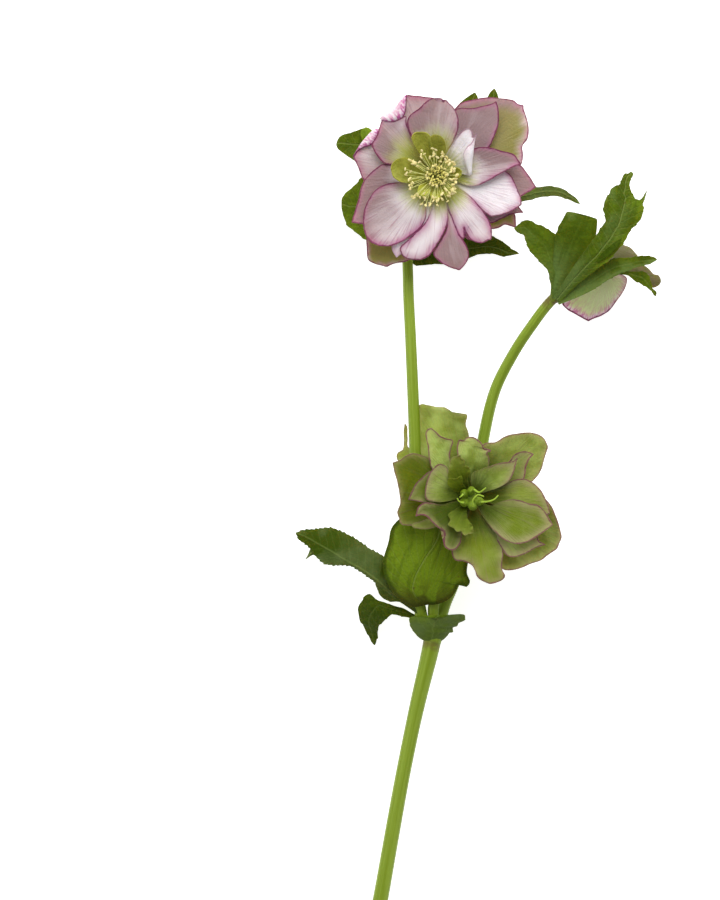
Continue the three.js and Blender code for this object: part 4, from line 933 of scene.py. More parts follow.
LEAF_COLLAR = [
    dict(
        left=[(-20.4, -55.6), (-22.4, -54.6), (-24, -53.3), (-26, -50.6), (-27, -48), (-27, -46.2),
              (-25, -45.6), (-21, -45.8), (-17, -46)],
        right=[(-17, -55.8), (-15, -55.7), (-13.4, -54.8), (-11.8, -53.2), (-10.8, -51.9),
               (-9.6, -51.9), (-10, -50.6), (-9.4, -49.8), (-8, -49.4), (-7.4, -48.2),
               (-6.2, -47.5), (-4.9, -46.5), (-4.9, -45), (-6.4, -44.7), (-9, -45.4), (-13, -46),
               (-17, -46)],
        rise=(13.4, 17, 19.6, 20.6, 20.6), edges=(-5, -6), teeth=9, bite=0.4, under=True,
        lines=72, crumple=1.5, frill=1.4, tone=(0, 0.9, 0), trim=(0.6, 0, 0),
    ),
]
LEAF_ROUND = [
    dict(
        left=[(-22, -41), (-25.4, -41.6), (-29, -40.2), (-32.6, -37), (-35.6, -32.4), (-37.6, -27),
              (-37.4, -21.6), (-35.6, -15.6), (-34.4, -10), (-31, -6.2), (-24, -4), (-16, -3)],
        right=[(-20, -40.6), (-16, -40.4), (-11.6, -38.6), (-8.8, -35.6), (-7, -32.4), (-4.4, -33.4),
               (-2.9, -31.4), (-4.2, -28), (-3.6, -22), (-5, -14), (-9, -7), (-16, -3)],
        rib=[(-21, -40.8), (-25.8, -35.4), (-25, -29.6), (-21.2, -22.4), (-15.6, -13), (-16, -3)],
        rise=(19, 22.4, 24.2, 25.2, 25.8, 25.6), edges=(-4, -2.4), fan=True,
        lines=64, sides=16, crumple=0.9, tone=(0, 1.8, 0), trim=(1.3, 1, 0.75),
    ),
]
OPEN_LEFT = [
    dict(
        left=[(-24.6, 118), (-29, 121), (-36, 127), (-44, 134), (-49.6, 138.3), (-53.4, 140.9),
              (-56, 143.4), (-56.6, 145)],
        right=[(-22.6, 120), (-26, 126), (-31, 136), (-36, 143), (-42, 149.4), (-44.2, 150.8),
               (-46, 151), (-48.6, 149.7), (-52, 149), (-54.8, 147.9), (-56.6, 145)],
        rise=(9.6, 10.6, 11, 9.8, 7), edges=(0.6, 0.8), teeth=7, tone=(0, 0.35, 0.6),
    ),
    dict(
        left=[(-42.6, 141.4), (-45.6, 145), (-46.8, 148.6), (-46.2, 150.6), (-44.6, 151.4)],
        right=[(-41, 142.8), (-40.8, 146.4), (-41.6, 149.4), (-43, 150.8), (-44.6, 151.4)],
        rise=(11, 12, 12.2, 11.8, 11), edges=(0.3, 0.2), tone=(0, 2, 0), trim=(0.4, 0, 0),
    ),
    dict(
        left=[(-23.6, 117.6), (-30, 108), (-38, 104.4), (-44.8, 106.6), (-48.6, 109.4),
              (-51.8, 112.3), (-53.4, 115.6), (-54.2, 119), (-54.4, 121)],
        right=[(-23.6, 121), (-30, 130), (-39, 134), (-45.6, 132), (-48.6, 128.8), (-52.2, 125.8),
               (-53.9, 123.8), (-54.4, 121)],
        rise=(10, 8.8, 5.4, 2.6, 0.9), teeth=11, tone=(0, 0.75, 0),
    ),
]
OPEN_RIGHT = [
    dict(
        left=[(-20, 120), (-8, 113), (0, 109.6), (5.6, 107.9), (10.6, 105.5), (13.6, 103),
              (16, 101.7), (17.4, 100.7)],
        right=[(-23, 117), (-28, 106), (-27.5, 98.6), (-24, 96), (-19, 96.4), (-12, 96.6),
               (-6, 97.6), (0, 100.2), (6, 100.9), (11, 99.8), (17.4, 100.7)],
        rise=(9.6, 7.4, 7.4, 6.6, 4), edges=(0.4, -0.6), teeth=11, bite=0.45, tone=(0, 0, 0),
    ),
    dict(
        left=[(-19, 121.6), (-6, 121), (6, 123.4), (14, 125), (22.6, 126.6), (25, 127.2),
              (29, 127.6), (32, 127.3), (35, 126.4), (38, 124.4), (40, 123), (41.9, 120.6)],
        right=[(-18.6, 118.6), (-6, 115), (6, 117.4), (17.6, 121.2), (21, 122), (25, 123),
               (30, 123.6), (34, 123.5), (37, 122.4), (40.4, 121), (41.9, 120.6)],
        rise=(10, 11.6, 13, 13.2, 12, 7), teeth=10, bite=0.4, under=True, tone=(0, 0.9, 0),
    ),
]
OPEN_TOP = [
    dict(
        left=[(-23, 121), (-21, 136), (-13, 153), (-7.4, 160.6), (-2.6, 164.2), (-0.6, 165.6)],
        right=[(-20, 121), (-11, 132), (-4, 147), (0.6, 158), (0.4, 163), (-0.6, 165.6)],
        rise=(10, 8.2, 7.6, 7.8, 9), teeth=5, tone=(0, 0.4, 0),
    ),
    dict(
        left=[(-21, 121), (-9, 138), (-0.6, 154), (4.4, 163), (5.8, 165.8), (7.2, 167.2)],
        right=[(-19, 119.6), (-5, 129), (5.6, 146), (8.6, 158), (8.6, 164), (7.2, 167.2)],
        rise=(10, 7.4, 7, 7.6, 9.5), teeth=5, tone=(0, 0.4, 0),
    ),
]
NODDING_LEFT = [
    dict(
        left=[(28.9, 82.4), (29.2, 87), (28.6, 89.4), (28.3, 91.8), (27.6, 93.4), (25, 96),
              (22.4, 98.8), (20.6, 100.8), (19, 104.6), (18, 107.2), (16, 108), (14.4, 109.6)],
        right=[(31.4, 82.4), (32.4, 92), (31.8, 100), (30.8, 107.4), (29.4, 108.2), (27.4, 109.6),
               (25.4, 110.8), (23, 111.4), (21.4, 112.4), (19.6, 113), (18, 112.4), (16, 111.2),
               (14.4, 109.6)],
        rise=(28, 30, 32, 33.4, 32.4), edges=(0.5, 0.3), teeth=12, bite=0.4, tone=(0, 0.4, 0.5),
        lean=-0.6,
        trim=(0.3, 0, 0),
    ),
    dict(
        left=[(29.8, 82.2), (30, 95), (30.8, 107.4), (31.6, 108.6), (31.9, 110.4), (33, 112),
              (34.4, 114.6), (35.4, 116.2), (38.4, 115.8), (41.6, 115)],
        right=[(32.2, 82.4), (37, 92), (43, 101), (46.8, 106.6), (47.2, 109), (47.5, 112),
               (47.4, 113.2), (44.6, 114.2), (41.6, 115)],
        rise=(28, 30.6, 33.6, 35.4, 36), edges=(-0.8, -0.6), tone=(0, 0.25, 0.9), lean=-0.8,
        trim=(0.1, 0, 0),
    ),
]
NODDING_LONG = [
    dict(
        left=[(30, 82), (36, 91.4), (42, 100), (46.6, 106.2), (47.6, 107.6), (49, 110),
              (50.4, 112), (50.4, 114), (49.7, 117.4), (50.4, 120.6), (52, 123), (53, 125.4),
              (54.4, 126.2), (56.6, 127.2), (57, 129), (58.4, 131.4), (59.4, 131.2),
              (60.8, 132.2)],
        right=[(33.2, 80.8), (40, 87.6), (46, 92.5), (52, 97), (55, 100.4), (57.6, 103.6),
               (59, 105.8), (60.4, 108.6), (62, 110.4), (63.4, 111.8), (64.9, 114), (65.2, 116),
               (65.8, 117.6), (65.2, 118.6), (65, 120.2), (63, 120.8), (61.6, 122.2),
               (60.8, 124.2), (60.2, 126), (60.3, 128.6), (61.2, 129.8), (61.6, 131.2),
               (60.8, 132.2)],
        rise=(28.4, 33, 36.4, 38, 38.4, 38.6, 37.8, 36.4), edges=(0.8, 0.4), teeth=22, bite=0.55,
        tone=(0, 0.5, 1), lean=-0.9, trim=(1.3, 0, 0),
    ),
    dict(
        left=[(61, 121), (64.2, 120.8), (65.4, 122), (66.2, 123.2), (67, 124.4)],
        right=[(62, 117.6), (65, 118.8), (66, 120.6), (66.6, 122.6), (67, 124.4)],
        rise=(38, 38, 37.6, 37.2), tone=(0, 0.5, 0), crumple=0.05,
    ),
    # a dark sheet laid along the long bract's right margin: painted shadow of the fold under that margin,
    # in the dark upper green
    dict(
        left=[(46.8, 96.4), (48.8, 99.2), (51.6, 101.8), (54.4, 104), (57, 105.6)],
        right=[(48, 96), (51, 97.9), (53.6, 99.9), (55.8, 102.6), (57, 105.6)],
        rise=(38, 38.8, 39.3, 39.4, 39.2), tone=(0, 0, 0), crumple=0.1, frill=0.1, trim=(0, 0, 0),
    ),
]
NODDING_LOW = [
    dict(
        left=[(31, 83), (38.6, 88.4), (47, 93.6), (52.4, 97), (56, 98), (60, 97.9), (64, 98.7),
              (67.6, 98.7), (70, 98.4), (71.6, 97.4)],
        right=[(32.4, 79.4), (36, 80.8), (40, 82.4), (45, 84.8), (50, 88), (54, 90.4), (60, 93),
               (65, 94.8), (69, 95.8), (71.6, 97.4)],
        rise=(27.8, 30.2, 31.8, 32.2, 31.6, 29.6), edges=(0.4, 0.2), teeth=16, bite=0.45,
        tone=(0, 0.35, 1.35), lean=0.8, trim=(0.4, 0, 0),
    ),
    dict(
        left=[(55, 94.4), (60.6, 92.6), (64, 92.6), (66.4, 92.6), (68.4, 90.6), (69.4, 88),
              (70, 86), (71.4, 84.6), (71.3, 82.9)],
        right=[(55, 91.4), (60, 91), (62, 89.6), (66, 87.4), (69, 85.4), (71.3, 82.9)],
        rise=(31.4, 30.4, 28.6, 26.6, 24.6), teeth=6, bite=0.45, tone=(0, 0.4, 0), trim=(0.6, 0, 0),
    ),
]

# ------------------------------------------------------------------ stem and carpels

FORK = (-17.4, -53, 11.8)
OPEN_WHORL = (-21.4, 119.4, 10.5)
NODDING_WHORL = (31.2, 82.6, 25)
STALK = [
    (-39.8, -165.8, 3.1), (-38.4, -158.6, 3.1), (-34.3, -135.4, 3.5), (-29.6, -109.4, 5),
    (-24.3, -83.4, 7.5), (-18.9, -60.4, 10.4), FORK,
]
OPEN_BRANCH = [
    FORK, (-21.6, -47.4, 13), (-22.9, -42, 14.4), (-24.2, -36, 15.6), (-23.6, -26.6, 17),
    (-23.8, -6.6, 19), (-24.8, 19.4, 20.5), (-25.6, 41.4, 20), (-26.6, 65.4, 18), (-27.6, 89.4, 14),
    (-27.2, 105.4, 11), OPEN_WHORL, (-17.6, 125.4, 12.6), (-16.5, 129.8, 17.5), (-16.5, 130.6, 24.4),
]
NODDING_BRANCH = [
    FORK, (-14.8, -47, 11.6), (-13, -41, 11), (-9, -31.6, 8.6), (-3.8, -16.6, 6), (-0.2, 1.4, 6),
    (2.6, 25, 8), (7.4, 45.4, 11.5), (13.8, 58.6, 15.5), (20.6, 69.4, 20), NODDING_WHORL,
    (39.4, 86.4, 27.4), (47.6, 90.4, 27.6), (50.8, 91.4, 25), (51, 91.4, 21),
]
GREEN_PEDICEL = [
    FORK, (-17.4, -47, 13.8), (-17.4, -41, 15.4), (-15.2, -34, 16.4), (-11, -25, 16.6),
    (-6.4, -12.6, 17.2), (-3.6, -0.8, 19.4), (-3, 2.2, 23.4), (-3, 2.6, 27.4),
]
STALK_RADII = (3.1, 3.0, 2.95, 2.9, 2.95, 3.2, 3.6)
BRANCH_RADII = (2.5, 2.4, 2.3, 2.1, 2.0)
PEDICEL_RADII = (2.3, 2.0, 1.9)
# where the stem swells: the place, the radius, and how much longer it is along Y
KNUCKLES = [(FORK, 3.7, 1.5), (OPEN_WHORL, 2.9, 1.2), (NODDING_WHORL, 2.3, 1.1)]
# where the skin blushes, and how far round
BLUSHES = [((-18, -57, 13), 3), (OPEN_WHORL, 4), ((29.8, 80.4, 26.5), 5)]

# a flower's receptacle from below to above: radius and height
DISC = [(0, 0), (2.4, 0), (3.6, 0.5), (4.3, 1.2), (4.4, 2.6), (4.2, 3.7), (3.2, 4.2), (0, 4.2)]
FOOT = 4.5  # height in a flower on which its stamens and carpels stand
GOLDEN_ANGLE = 2.39996  # from one stamen to the next, which spreads them evenly

# swollen pods: where each stands, leans and ends its hooked style
PODS = [
    ((1.2, -0.6), (3.8, -1.9), [(4.4, -1.9, 6.2), (7.4, -1.5, 8), (9.4, -0.7, 8.6), (10.9, 0.8, 8.4)]),
    ((-1.2, -0.6), (-2.6, -2.3), [(-3, -2.2, 6.2), (-4.6, -1.6, 7.2), (-5.4, -0.4, 7.6)]),
    ((0.4, 1.2), (0.2, 2.6), [(1.4, 3, 6), (3.4, 2, 7.6), (6, 3.8, 8.4)]),
    ((0.2, -1.2), (0.9, -3.8), [(1, -3.6, 6.4), (0.8, -1.2, 8.4), (2.8, 1, 9.2), (5.2, 0.3, 9)]),
    ((-0.8, 0.8), (-2.6, 1.4), [(-3, 1.2, 5.8), (-3.8, 0.4, 6.6), (-4.4, 0, 6.4)]),
]

# ------------------------------------------------------------------ finishes

LEAF_STAIN = (0.05, 0.05, 0.004)  # at the foot of the round leaf
LEAF_BROWN = (0.09, 0.045, 0.01)  # dead patches
STEM_SPECKS = (0.16, 0.09, 0.02)
PITH = (0.62, 0.64, 0.36)
ANTHER_BROWN = (0.42, 0.27, 0.06)
ANTHER_DEEP = (0.11, 0.13, 0.004)  # between the unripe anthers
FLESH_SPECKS = (0.12, 0.08, 0.01)
PALE_BACK = (0.4, 0.5, 0.22)  # shares of the sepal colour that make a pale petal's back


def tinted(colour, factor, lift=0.0):
    """A colour made brighter or darker."""
    return [part * factor + lift for part in colour]


class Finish:
    """A material, built node by node; sockets are passed on as they are made."""

    def __init__(self, name, roughness=0.5, soft=0.15, specular=0.4, sheen=0.0):
        self.made = bpy.data.materials.new(name)
        self.made.use_nodes = True
        self.tree = self.made.node_tree
        self.shader = self.tree.nodes["Principled BSDF"]
        self.set(
            Roughness=roughness,
            **{
                "Subsurface Weight": soft,
                "Subsurface Scale": 0.002,
                "Subsurface Radius": (1.0, 0.7, 0.5),
                "Specular IOR Level": specular,
                "Sheen Weight": sheen,
            },
        )

    def set(self, **values):
        for name, value in values.items():
            self.shader.inputs[name].default_value = value

    def give(self, socket, value):
        """Links a socket to another, or gives it a number or colour."""
        if isinstance(value, bpy.types.NodeSocket):
            self.tree.links.new(value, socket)
        elif socket.type == "RGBA":
            socket.default_value = (*value, 1.0)
        else:
            socket.default_value = value

    def node(self, kind, *values, **settings):
        made = self.tree.nodes.new("ShaderNode" + kind)
        for name, value in settings.items():
            setattr(made, name, value)
        for socket, value in zip([s for s in made.inputs if s.enabled], values):
            self.give(socket, value)
        return made

    def maths(self, kind, *values):
        return self.node("Math", *values, operation=kind).outputs[0]

    def read(self, name):
        """The three parts of a painted value."""
        layer = self.node("Attribute", attribute_type="GEOMETRY", attribute_name=name)
        return self.node("SeparateXYZ", layer.outputs["Vector"]).outputs[:3]

    def vector(self, *parts):
        return self.node("CombineXYZ", *parts).outputs[0]

    def times(self, a, b):
        return self.maths("MULTIPLY", a, b)

    def added(self, a, b):
        return self.maths("ADD", a, b)

    def noise(self, vector, scale=1.0, detail=2.0):
        made = self.node("TexNoise")
        self.give(made.inputs["Vector"], vector)
        made.inputs["Scale"].default_value = scale
        made.inputs["Detail"].default_value = detail
        return made.outputs["Fac"]

    def grown(self, value, low, high):
        """0 below `low`, 1 above `high`, smooth between; falls if low is above high."""
        down = low > high
        made = self.node("MapRange", interpolation_type="SMOOTHSTEP")
        made.inputs["From Min"].default_value = min(low, high)
        made.inputs["From Max"].default_value = max(low, high)
        made.inputs["To Min"].default_value = 1.0 if down else 0.0
        made.inputs["To Max"].default_value = 0.0 if down else 1.0
        self.give(made.inputs["Value"], value)
        return made.outputs["Result"]

    def mixed(self, amount, a, b):
        """Colour `a` where the amount is 0 and `b` where it is 1."""
        made = self.node("Mix", data_type="RGBA", clamp_factor=True)
        self.give(made.inputs["Factor"], amount)
        self.give(made.inputs[6], a)
        self.give(made.inputs[7], b)
        return made.outputs[2]

    def place(self):
        """Position in millimetres."""
        where = self.node("TexCoord").outputs["Object"]
        return self.node("VectorMath", where, (1000, 1000, 1000), operation="MULTIPLY").outputs[0]

    def finish(self, colour, bumps, distance, roughness=None):
        """Gives the shader its colour and relief, `distance` metres high, and returns the material."""
        self.give(self.shader.inputs["Base Color"], colour)
        bump = self.node("Bump")
        bump.inputs["Strength"].default_value = 1.0
        bump.inputs["Distance"].default_value = distance
        self.give(bump.inputs["Height"], bumps)
        self.give(self.shader.inputs["Normal"], bump.outputs[0])
        if roughness:
            self.give(self.shader.inputs["Roughness"], roughness)
        return self.made


def petal_finish(
    name, look, ground, blush, dusk, sepal, heart, margin, back, sage, halo, streak, reach, fade
):
    """Streaked petals. The heart's colour fades over `reach` millimetres from the axis, and the
    dull tint grows over `fade`. The upper face has ground, halo, blush, dusk, sepal and heart, the
    lower one mainly back, sage and streak, and the margin is drawn on both."""
    made = Finish(name, soft=0.2, specular=0.08)
    angle, radius, seed = made.read("fan")
    edge, _, side = made.read("spot")
    warm, lime, dull = made.read("tone")
    line, root, pale = made.read("trim")
    where = made.place()
    part = made.times(seed, 7.3)
    broad = made.noise(made.vector(made.times(angle, 9), made.times(radius, 0.06), part), 1, 2)
    fine = made.noise(made.vector(made.times(angle, 42), made.times(radius, 0.1), part), 1, 3)
    cloud = made.noise(where, 0.16, 3)
    veins = made.grown(fine, 0.5, 0.72)
    outer = made.grown(radius, 10, 20)
    rim = made.grown(edge, 6, 0)
    rim = made.times(made.times(rim, rim), outer)
    tint = made.times(made.grown(cloud, 0.35, 0.7), 0.2)
    tint = made.times(warm, made.added(tint, made.times(rim, 0.9)))
    tint = made.added(tint, made.times(made.times(veins, 0.3), made.added(0.3, warm)))
    # the upper face
    # pale patches in the halo colour where the paleness is set; on the aged petals partly a painted
    # highlight, set higher on petals in shade to lighten them
    light = made.added(0.35, made.times(made.grown(cloud, 0.35, 0.65), 0.65))
    shade = made.mixed(made.times(pale, light), ground, halo)
    shade = made.mixed(tint, shade, blush)
    # the dull tint; on the aged petals a deep green, partly painted shade on a petal's shaded half
    amount = made.times(dull, made.added(0.55, made.times(broad, 0.6)))
    shade = made.mixed(made.times(amount, made.grown(radius, *fade)), shade, dusk)
    depth = made.added(made.added(edge, made.times(broad, 4)), made.times(lime, 6))
    inside = made.grown(depth, 6.8, 12.6)
    shade = made.mixed(made.times(lime, inside), shade, sepal)
    # on the aged petals the heart's deep green round the axis is partly painted shade between the petal
    # bases
    close = made.added(radius, made.times(made.added(broad, -0.5), 7))
    close = made.added(close, made.times(root, -7))
    near = made.grown(close, *reach)
    shade = made.mixed(made.times(near, 0.94), shade, heart)
    lines = made.times(made.grown(fine, 0.52, 0.72), made.added(0.04, made.times(warm, 0.12)))
    shade = made.mixed(lines, shade, margin)
    # the lower face
    within = made.grown(made.added(edge, made.times(broad, 2)), 1.4, 3.6)
    under = made.mixed(made.grown(warm, 0, 0.5), ground, back)
    under = made.mixed(made.times(lime, within), under, sage)
    under = made.mixed(pale, under, [value * share for value, share in zip(sepal, PALE_BACK)])
    band = made.added(made.times(made.grown(edge, 4.5, 0.2), 0.75), 0.25)
    marks = made.noise(made.vector(made.times(angle, 34), made.times(radius, 0.5), part), 1, 4)
    marks = made.added(made.times(made.grown(marks, 0.38, 0.62), 0.8), made.times(veins, 0.3))
    streaks = made.times(marks, made.times(band, made.times(warm, 1.6)))
    under = made.mixed(streaks, under, streak)
    under = made.mixed(made.times(near, 0.5), under, sage)
    dim = made.times(dull, made.times(lime, within))
    under = made.mixed(made.times(dim, 0.7), under, tinted(dusk, 0.55))
    shade = made.mixed(side, shade, under)
    # the margin, a band inside it (a deeper blush on the pink petals, partly a painted highlight along the
    # aged petals' margins), and flecks
    blush_and_highlight = made.times(made.grown(edge, 2.4, 0), made.grown(cloud, 0.3, 0.6))
    line = made.times(line, made.added(0.12, made.times(outer, 0.88)))
    blush_and_highlight = made.times(made.times(blush_and_highlight, 0.62), made.maths("MINIMUM", line, 1.0))
    shade = made.mixed(blush_and_highlight, shade, blush)
    waver = made.times(made.added(made.noise(where, 0.5, 2), -0.5), look.edge / MM * 1.6)
    drawn = made.grown(made.added(edge, waver), look.edge / MM * 1.5, look.edge / MM * 0.4)
    shade = made.mixed(made.times(made.times(drawn, 0.9), line), shade, margin)
    fleck = made.grown(made.noise(where, 0.9, 1), 0.76, 0.82)
    shade = made.mixed(made.times(fleck, 0.25), shade, margin)
    bumps = made.added(made.times(fine, 0.7), made.times(made.noise(where, 1.1, 3), 0.5))
    gloss = made.added(0.44, made.times(cloud, 0.25))
    return made.finish(shade, bumps, 0.00036, gloss)


def pink_finish(context):
    """The pink petals: lime at the heart, pale, then blushed to a plum margin."""
    look = context.scene.petal_look
    heart = look.heart / MM
    return petal_finish(
        "pink_petal", look, ground=look.pale, blush=look.blush, dusk=look.dusk, sepal=look.olive,
        heart=look.lime, margin=look.plum, back=look.flap, sage=look.sage, halo=look.blush,
        streak=look.streak, reach=(heart * 2, heart * 0.9), fade=(12, 23),
    )


def aged_finish(context):
    """The aged petals: green, with mauve-green ends and pale patches; the pale patches and the band inside
    the margins are partly a painted highlight, and the deep green of the bases and darker halves is partly
    painted shade.
    """
    look = context.scene.petal_look
    bright = tinted(look.apple, 1.6, 0.01)
    return petal_finish(
        "aged_petal", look, ground=look.apple, blush=look.tip, dusk=look.deep, sepal=bright,
        heart=look.deep, margin=look.brown, back=look.tip, sage=bright, halo=look.fresh,
        streak=look.brown, reach=(17, 5), fade=(-1, 0),
    )


def leaf_finish(context):
    """Dark green with paler veins above, dull grey-green below."""
    look = context.scene.leaf_look
    made = Finish("leaf", soft=0.1, specular=0.06)
    phase, run, seed = made.read("fan")
    edge, across, side = made.read("spot")
    young, grey = made.read("tone")[1:]
    strength, rolled_rim_shade, stained = made.read("trim")
    where = made.place()
    cloud = made.noise(where, 0.13, 3)
    waver = made.times(made.added(made.noise(where, 0.35, 2), -0.5), 0.45)
    off = made.maths("PINGPONG", made.added(phase, waver), 0.5)
    side_veins = made.grown(off, 0.12, 0.015)
    net = made.grown(made.noise(where, 0.75, 3), 0.44, 0.56)
    middle = made.grown(made.maths("ABSOLUTE", across), 0.5, 0.15)
    veins = made.times(made.maths("MAXIMUM", made.times(side_veins, 0.36), middle), strength)
    patch = made.added(0.45, made.times(made.grown(cloud, 0.36, 0.62), 0.7))
    patch = made.times(young, patch)
    lengthwise = made.vector(made.times(across, 0.4), made.times(run, 0.045), made.times(seed, 3.1))
    stripes = made.noise(lengthwise, 1, 2)
    upper = made.mixed(patch, look.upper, look.young)
    upper = made.mixed(made.times(net, 0.12), upper, look.young)
    # painted sheen: paler grey-green patches, and whole halves of the bracts where the third tone is high,
    # stand in for reflected light; near the root the grey-green is the leaf's own
    sheen = made.times(made.grown(made.noise(where, 0.1, 2), 0.5, 0.66), 0.45)
    dull = made.maths("MAXIMUM", made.grown(run, 26, 7), sheen)
    dull = made.maths("MAXIMUM", dull, made.grown(grey, 1.6, 2.7))
    upper = made.mixed(made.times(grey, dull), upper, look.bloom_and_sheen)
    # darker lengthwise streaks, which stand in for the shade in the blades' lengthwise furrows: painted
    # shade
    upper = made.mixed(made.times(made.grown(stripes, 0.5, 0.64), 0.36), upper, look.upper)
    upper = made.mixed(made.times(veins, 0.3), upper, look.vein)
    lower = made.mixed(made.times(made.grown(cloud, 0.3, 0.7), 0.5), look.under, look.upper)
    lower = made.mixed(made.times(patch, 0.3), lower, look.young)
    fresh = made.times(grey, made.grown(made.noise(where, 0.055, 2), 0.4, 0.6))
    lower = made.mixed(fresh, lower, look.upper)
    lower = made.mixed(made.times(veins, 0.32), lower, look.vein)
    shade = made.mixed(side, upper, lower)
    # painted shade: a dark band along the round leaf's margin, where the margin rolls down
    shade = made.mixed(made.times(rolled_rim_shade, made.grown(edge, 2.4, 0.6)), shade, look.upper)
    stain = made.times(made.grown(run, 15, 5), made.grown(cloud, 0.4, 0.55))
    shade = made.mixed(made.times(stained, stain), shade, LEAF_STAIN)
    brown = made.grown(made.noise(where, 0.28, 2), 0.71, 0.78)
    shade = made.mixed(made.times(brown, 0.55), shade, LEAF_BROWN)
    relief = made.times(veins, made.added(made.times(side, 1.6), -0.8))
    bumps = made.added(relief, made.times(net, 0.35))
    gloss = made.added(made.times(side, 0.16), made.added(0.36, made.times(cloud, 0.2)))
    return made.finish(shade, bumps, 0.0003, gloss)


def stem_finish(context):
    """Yellow-green skin, streaked along its length, with brown specks and a blush at the knuckles."""
    look = context.scene.stem_look
    made = Finish("stem", soft=0.2, specular=0.2)
    cosine, sine, run = made.read("fan")
    blush, pith, _ = made.read("tone")
    lengthwise = made.vector(made.times(cosine, 2.6), made.times(sine, 2.6), made.times(run, 0.02))
    bands = made.noise(lengthwise, 1, 3)
    threads = made.noise(
        made.vector(made.times(cosine, 9), made.times(sine, 9), made.times(run, 0.05)), 1, 3
    )
    where = made.place()
    light = made.added(0.15, made.times(made.grown(bands, 0.34, 0.66), 0.7))
    shade = made.mixed(light, look.green, look.light)
    shade = made.mixed(made.times(made.grown(threads, 0.5, 0.7), 0.2), shade, look.green)
    specks = made.grown(made.noise(where, 0.7, 1), 0.75, 0.8)
    shade = made.mixed(made.times(specks, 0.3), shade, STEM_SPECKS)
    stain = made.times(blush, made.grown(made.noise(where, 0.4, 3), 0.32, 0.56))
    shade = made.mixed(stain, shade, look.blush)
    shade = made.mixed(pith, shade, PITH)
    bumps = made.added(threads, made.times(made.noise(where, 0.4, 2), 0.5))
    return made.finish(shade, bumps, 0.00012, made.added(0.38, made.times(bands, 0.2)))


def stamen_finish(context):
    """Threads, unripe and ripe anthers, told apart by the painted tone."""
    look = context.scene.stamen_look
    made = Finish("stamen", soft=0.15, specular=0.15)
    kind, chance, deep = made.read("tone")
    where = made.place()
    grain = made.noise(where, 2.6, 3)
    shade = made.mixed(made.grown(kind, 0.1, 0.45), look.thread, look.straw)
    shade = made.mixed(made.grown(kind, 0.55, 0.95), shade, look.cream)
    shade = made.mixed(made.times(made.times(chance, kind), 0.35), shade, look.straw)
    shade = made.mixed(made.times(made.grown(grain, 0.45, 0.65), 0.35), shade, ANTHER_BROWN)
    shade = made.mixed(deep, shade, ANTHER_DEEP)
    return made.finish(shade, grain, 0.00018, made.added(0.6, made.times(grain, 0.25)))


def fleshy_finish(name, colour, light):
    """Waxy green flesh of the nectaries and pods."""
    made = Finish(name, soft=0.3, specular=0.25)
    edge = made.read("spot")[0]
    deep, _, pale = made.read("tone")
    where = made.place()
    cloud = made.noise(where, 0.22, 3)
    shade = made.mixed(made.times(made.grown(cloud, 0.3, 0.7), 0.7), colour, light)
    # painted highlight: a nectary cup is lighter within about 1.6 mm of its rim
    shade = made.mixed(made.times(made.grown(edge, 1.6, 0.1), 0.3), shade, light)
    # the paler tone: the pods' pale styles, and on the smaller nectaries painted light against the
    # filaments' shade
    shade = made.mixed(pale, shade, tinted(light, 1.5))
    shade = made.mixed(deep, shade, tinted(colour, 0.6))
    specks = made.grown(made.noise(where, 1.6, 2), 0.66, 0.75)
    shade = made.mixed(made.times(specks, 0.2), shade, FLESH_SPECKS)
    return made.finish(shade, made.noise(where, 1.4, 3), 0.0003, made.added(0.3, made.times(cloud, 0.3)))


# ------------------------------------------------------------------ pieces


def blades(forms, thickness, centre=(0, 0, 0), down=False, leaf_pitch=None, first=1):
    """Several blades, each with its own seed, counted from `first`."""
    shell = Shell()
    for i, form in enumerate(forms):
        blade(shell, form, first + i, thickness / MM, centre, down, leaf_pitch)
    return shell


def whorl(forms, look, centre, down=False, first=1, disc=1.0):
    """A flower's petals on its receptacle, whose width is `disc` of the usual."""
    shell = blades(forms, look.thickness, centre, down, first=first)
    turned(shell, [(radius * disc, height) for radius, height in DISC], centre, down)
    return shell


def stem_shell(look):
    """The stalk, its three branches and the knuckles."""
    shell = Shell()
    ribs = (look.ribs, look.rib / MM)

    def blush(point):
        return max(max(0.0, 1 - math.dist(point, at) / reach) ** 0.6 for at, reach in BLUSHES)

    limbs = [
        (STALK, STALK_RADII, 0), (OPEN_BRANCH, BRANCH_RADII, 300),
        (NODDING_BRANCH, BRANCH_RADII, 700), (GREEN_PEDICEL, PEDICEL_RADII, 1100),
    ]
    for path, radii, shift in limbs:
        tube(shell, path, radii, 36, 1.6, shift, ribs=ribs, blush=blush)
    for centre, radius, stretch in KNUCKLES:
        knuckle(shell, centre, radius, stretch, blush)
    return shell


def knuckle(shell, centre, radius, stretch, blush, sides=40, rings=24):
    """A lumpy swelling of the stem, longer along Y."""
    points, fans = [], []
    for i in range(1, rings):
        up = math.pi * i / rings
        for j in range(sides):
            turn = 2 * math.pi * j / sides
            out = Vector((math.sin(up) * math.cos(turn), -math.cos(up), math.sin(up) * math.sin(turn)))
            lump = 1 + 0.07 * noise.noise(out * 2.2 + Vector(centre))
            points.append((out.x * radius * lump, out.y * radius * stretch * lump, out.z * radius * lump))
            fans.append((math.cos(turn), math.sin(turn), i + 50))
    points += [(0, -radius * stretch, 0), (0, radius * stretch, 0)]
    fans += [(1, 0, 50), (1, 0, 50 + rings)]
    points = np.array(points) + centre
    tones = [(blush(point), 0, 0) for point in points]
    faces = [face[::-1] for face in ring_faces(rings - 1, sides)]
    shell.add(points, faces, fans, (FAR, 0, 0), tones)


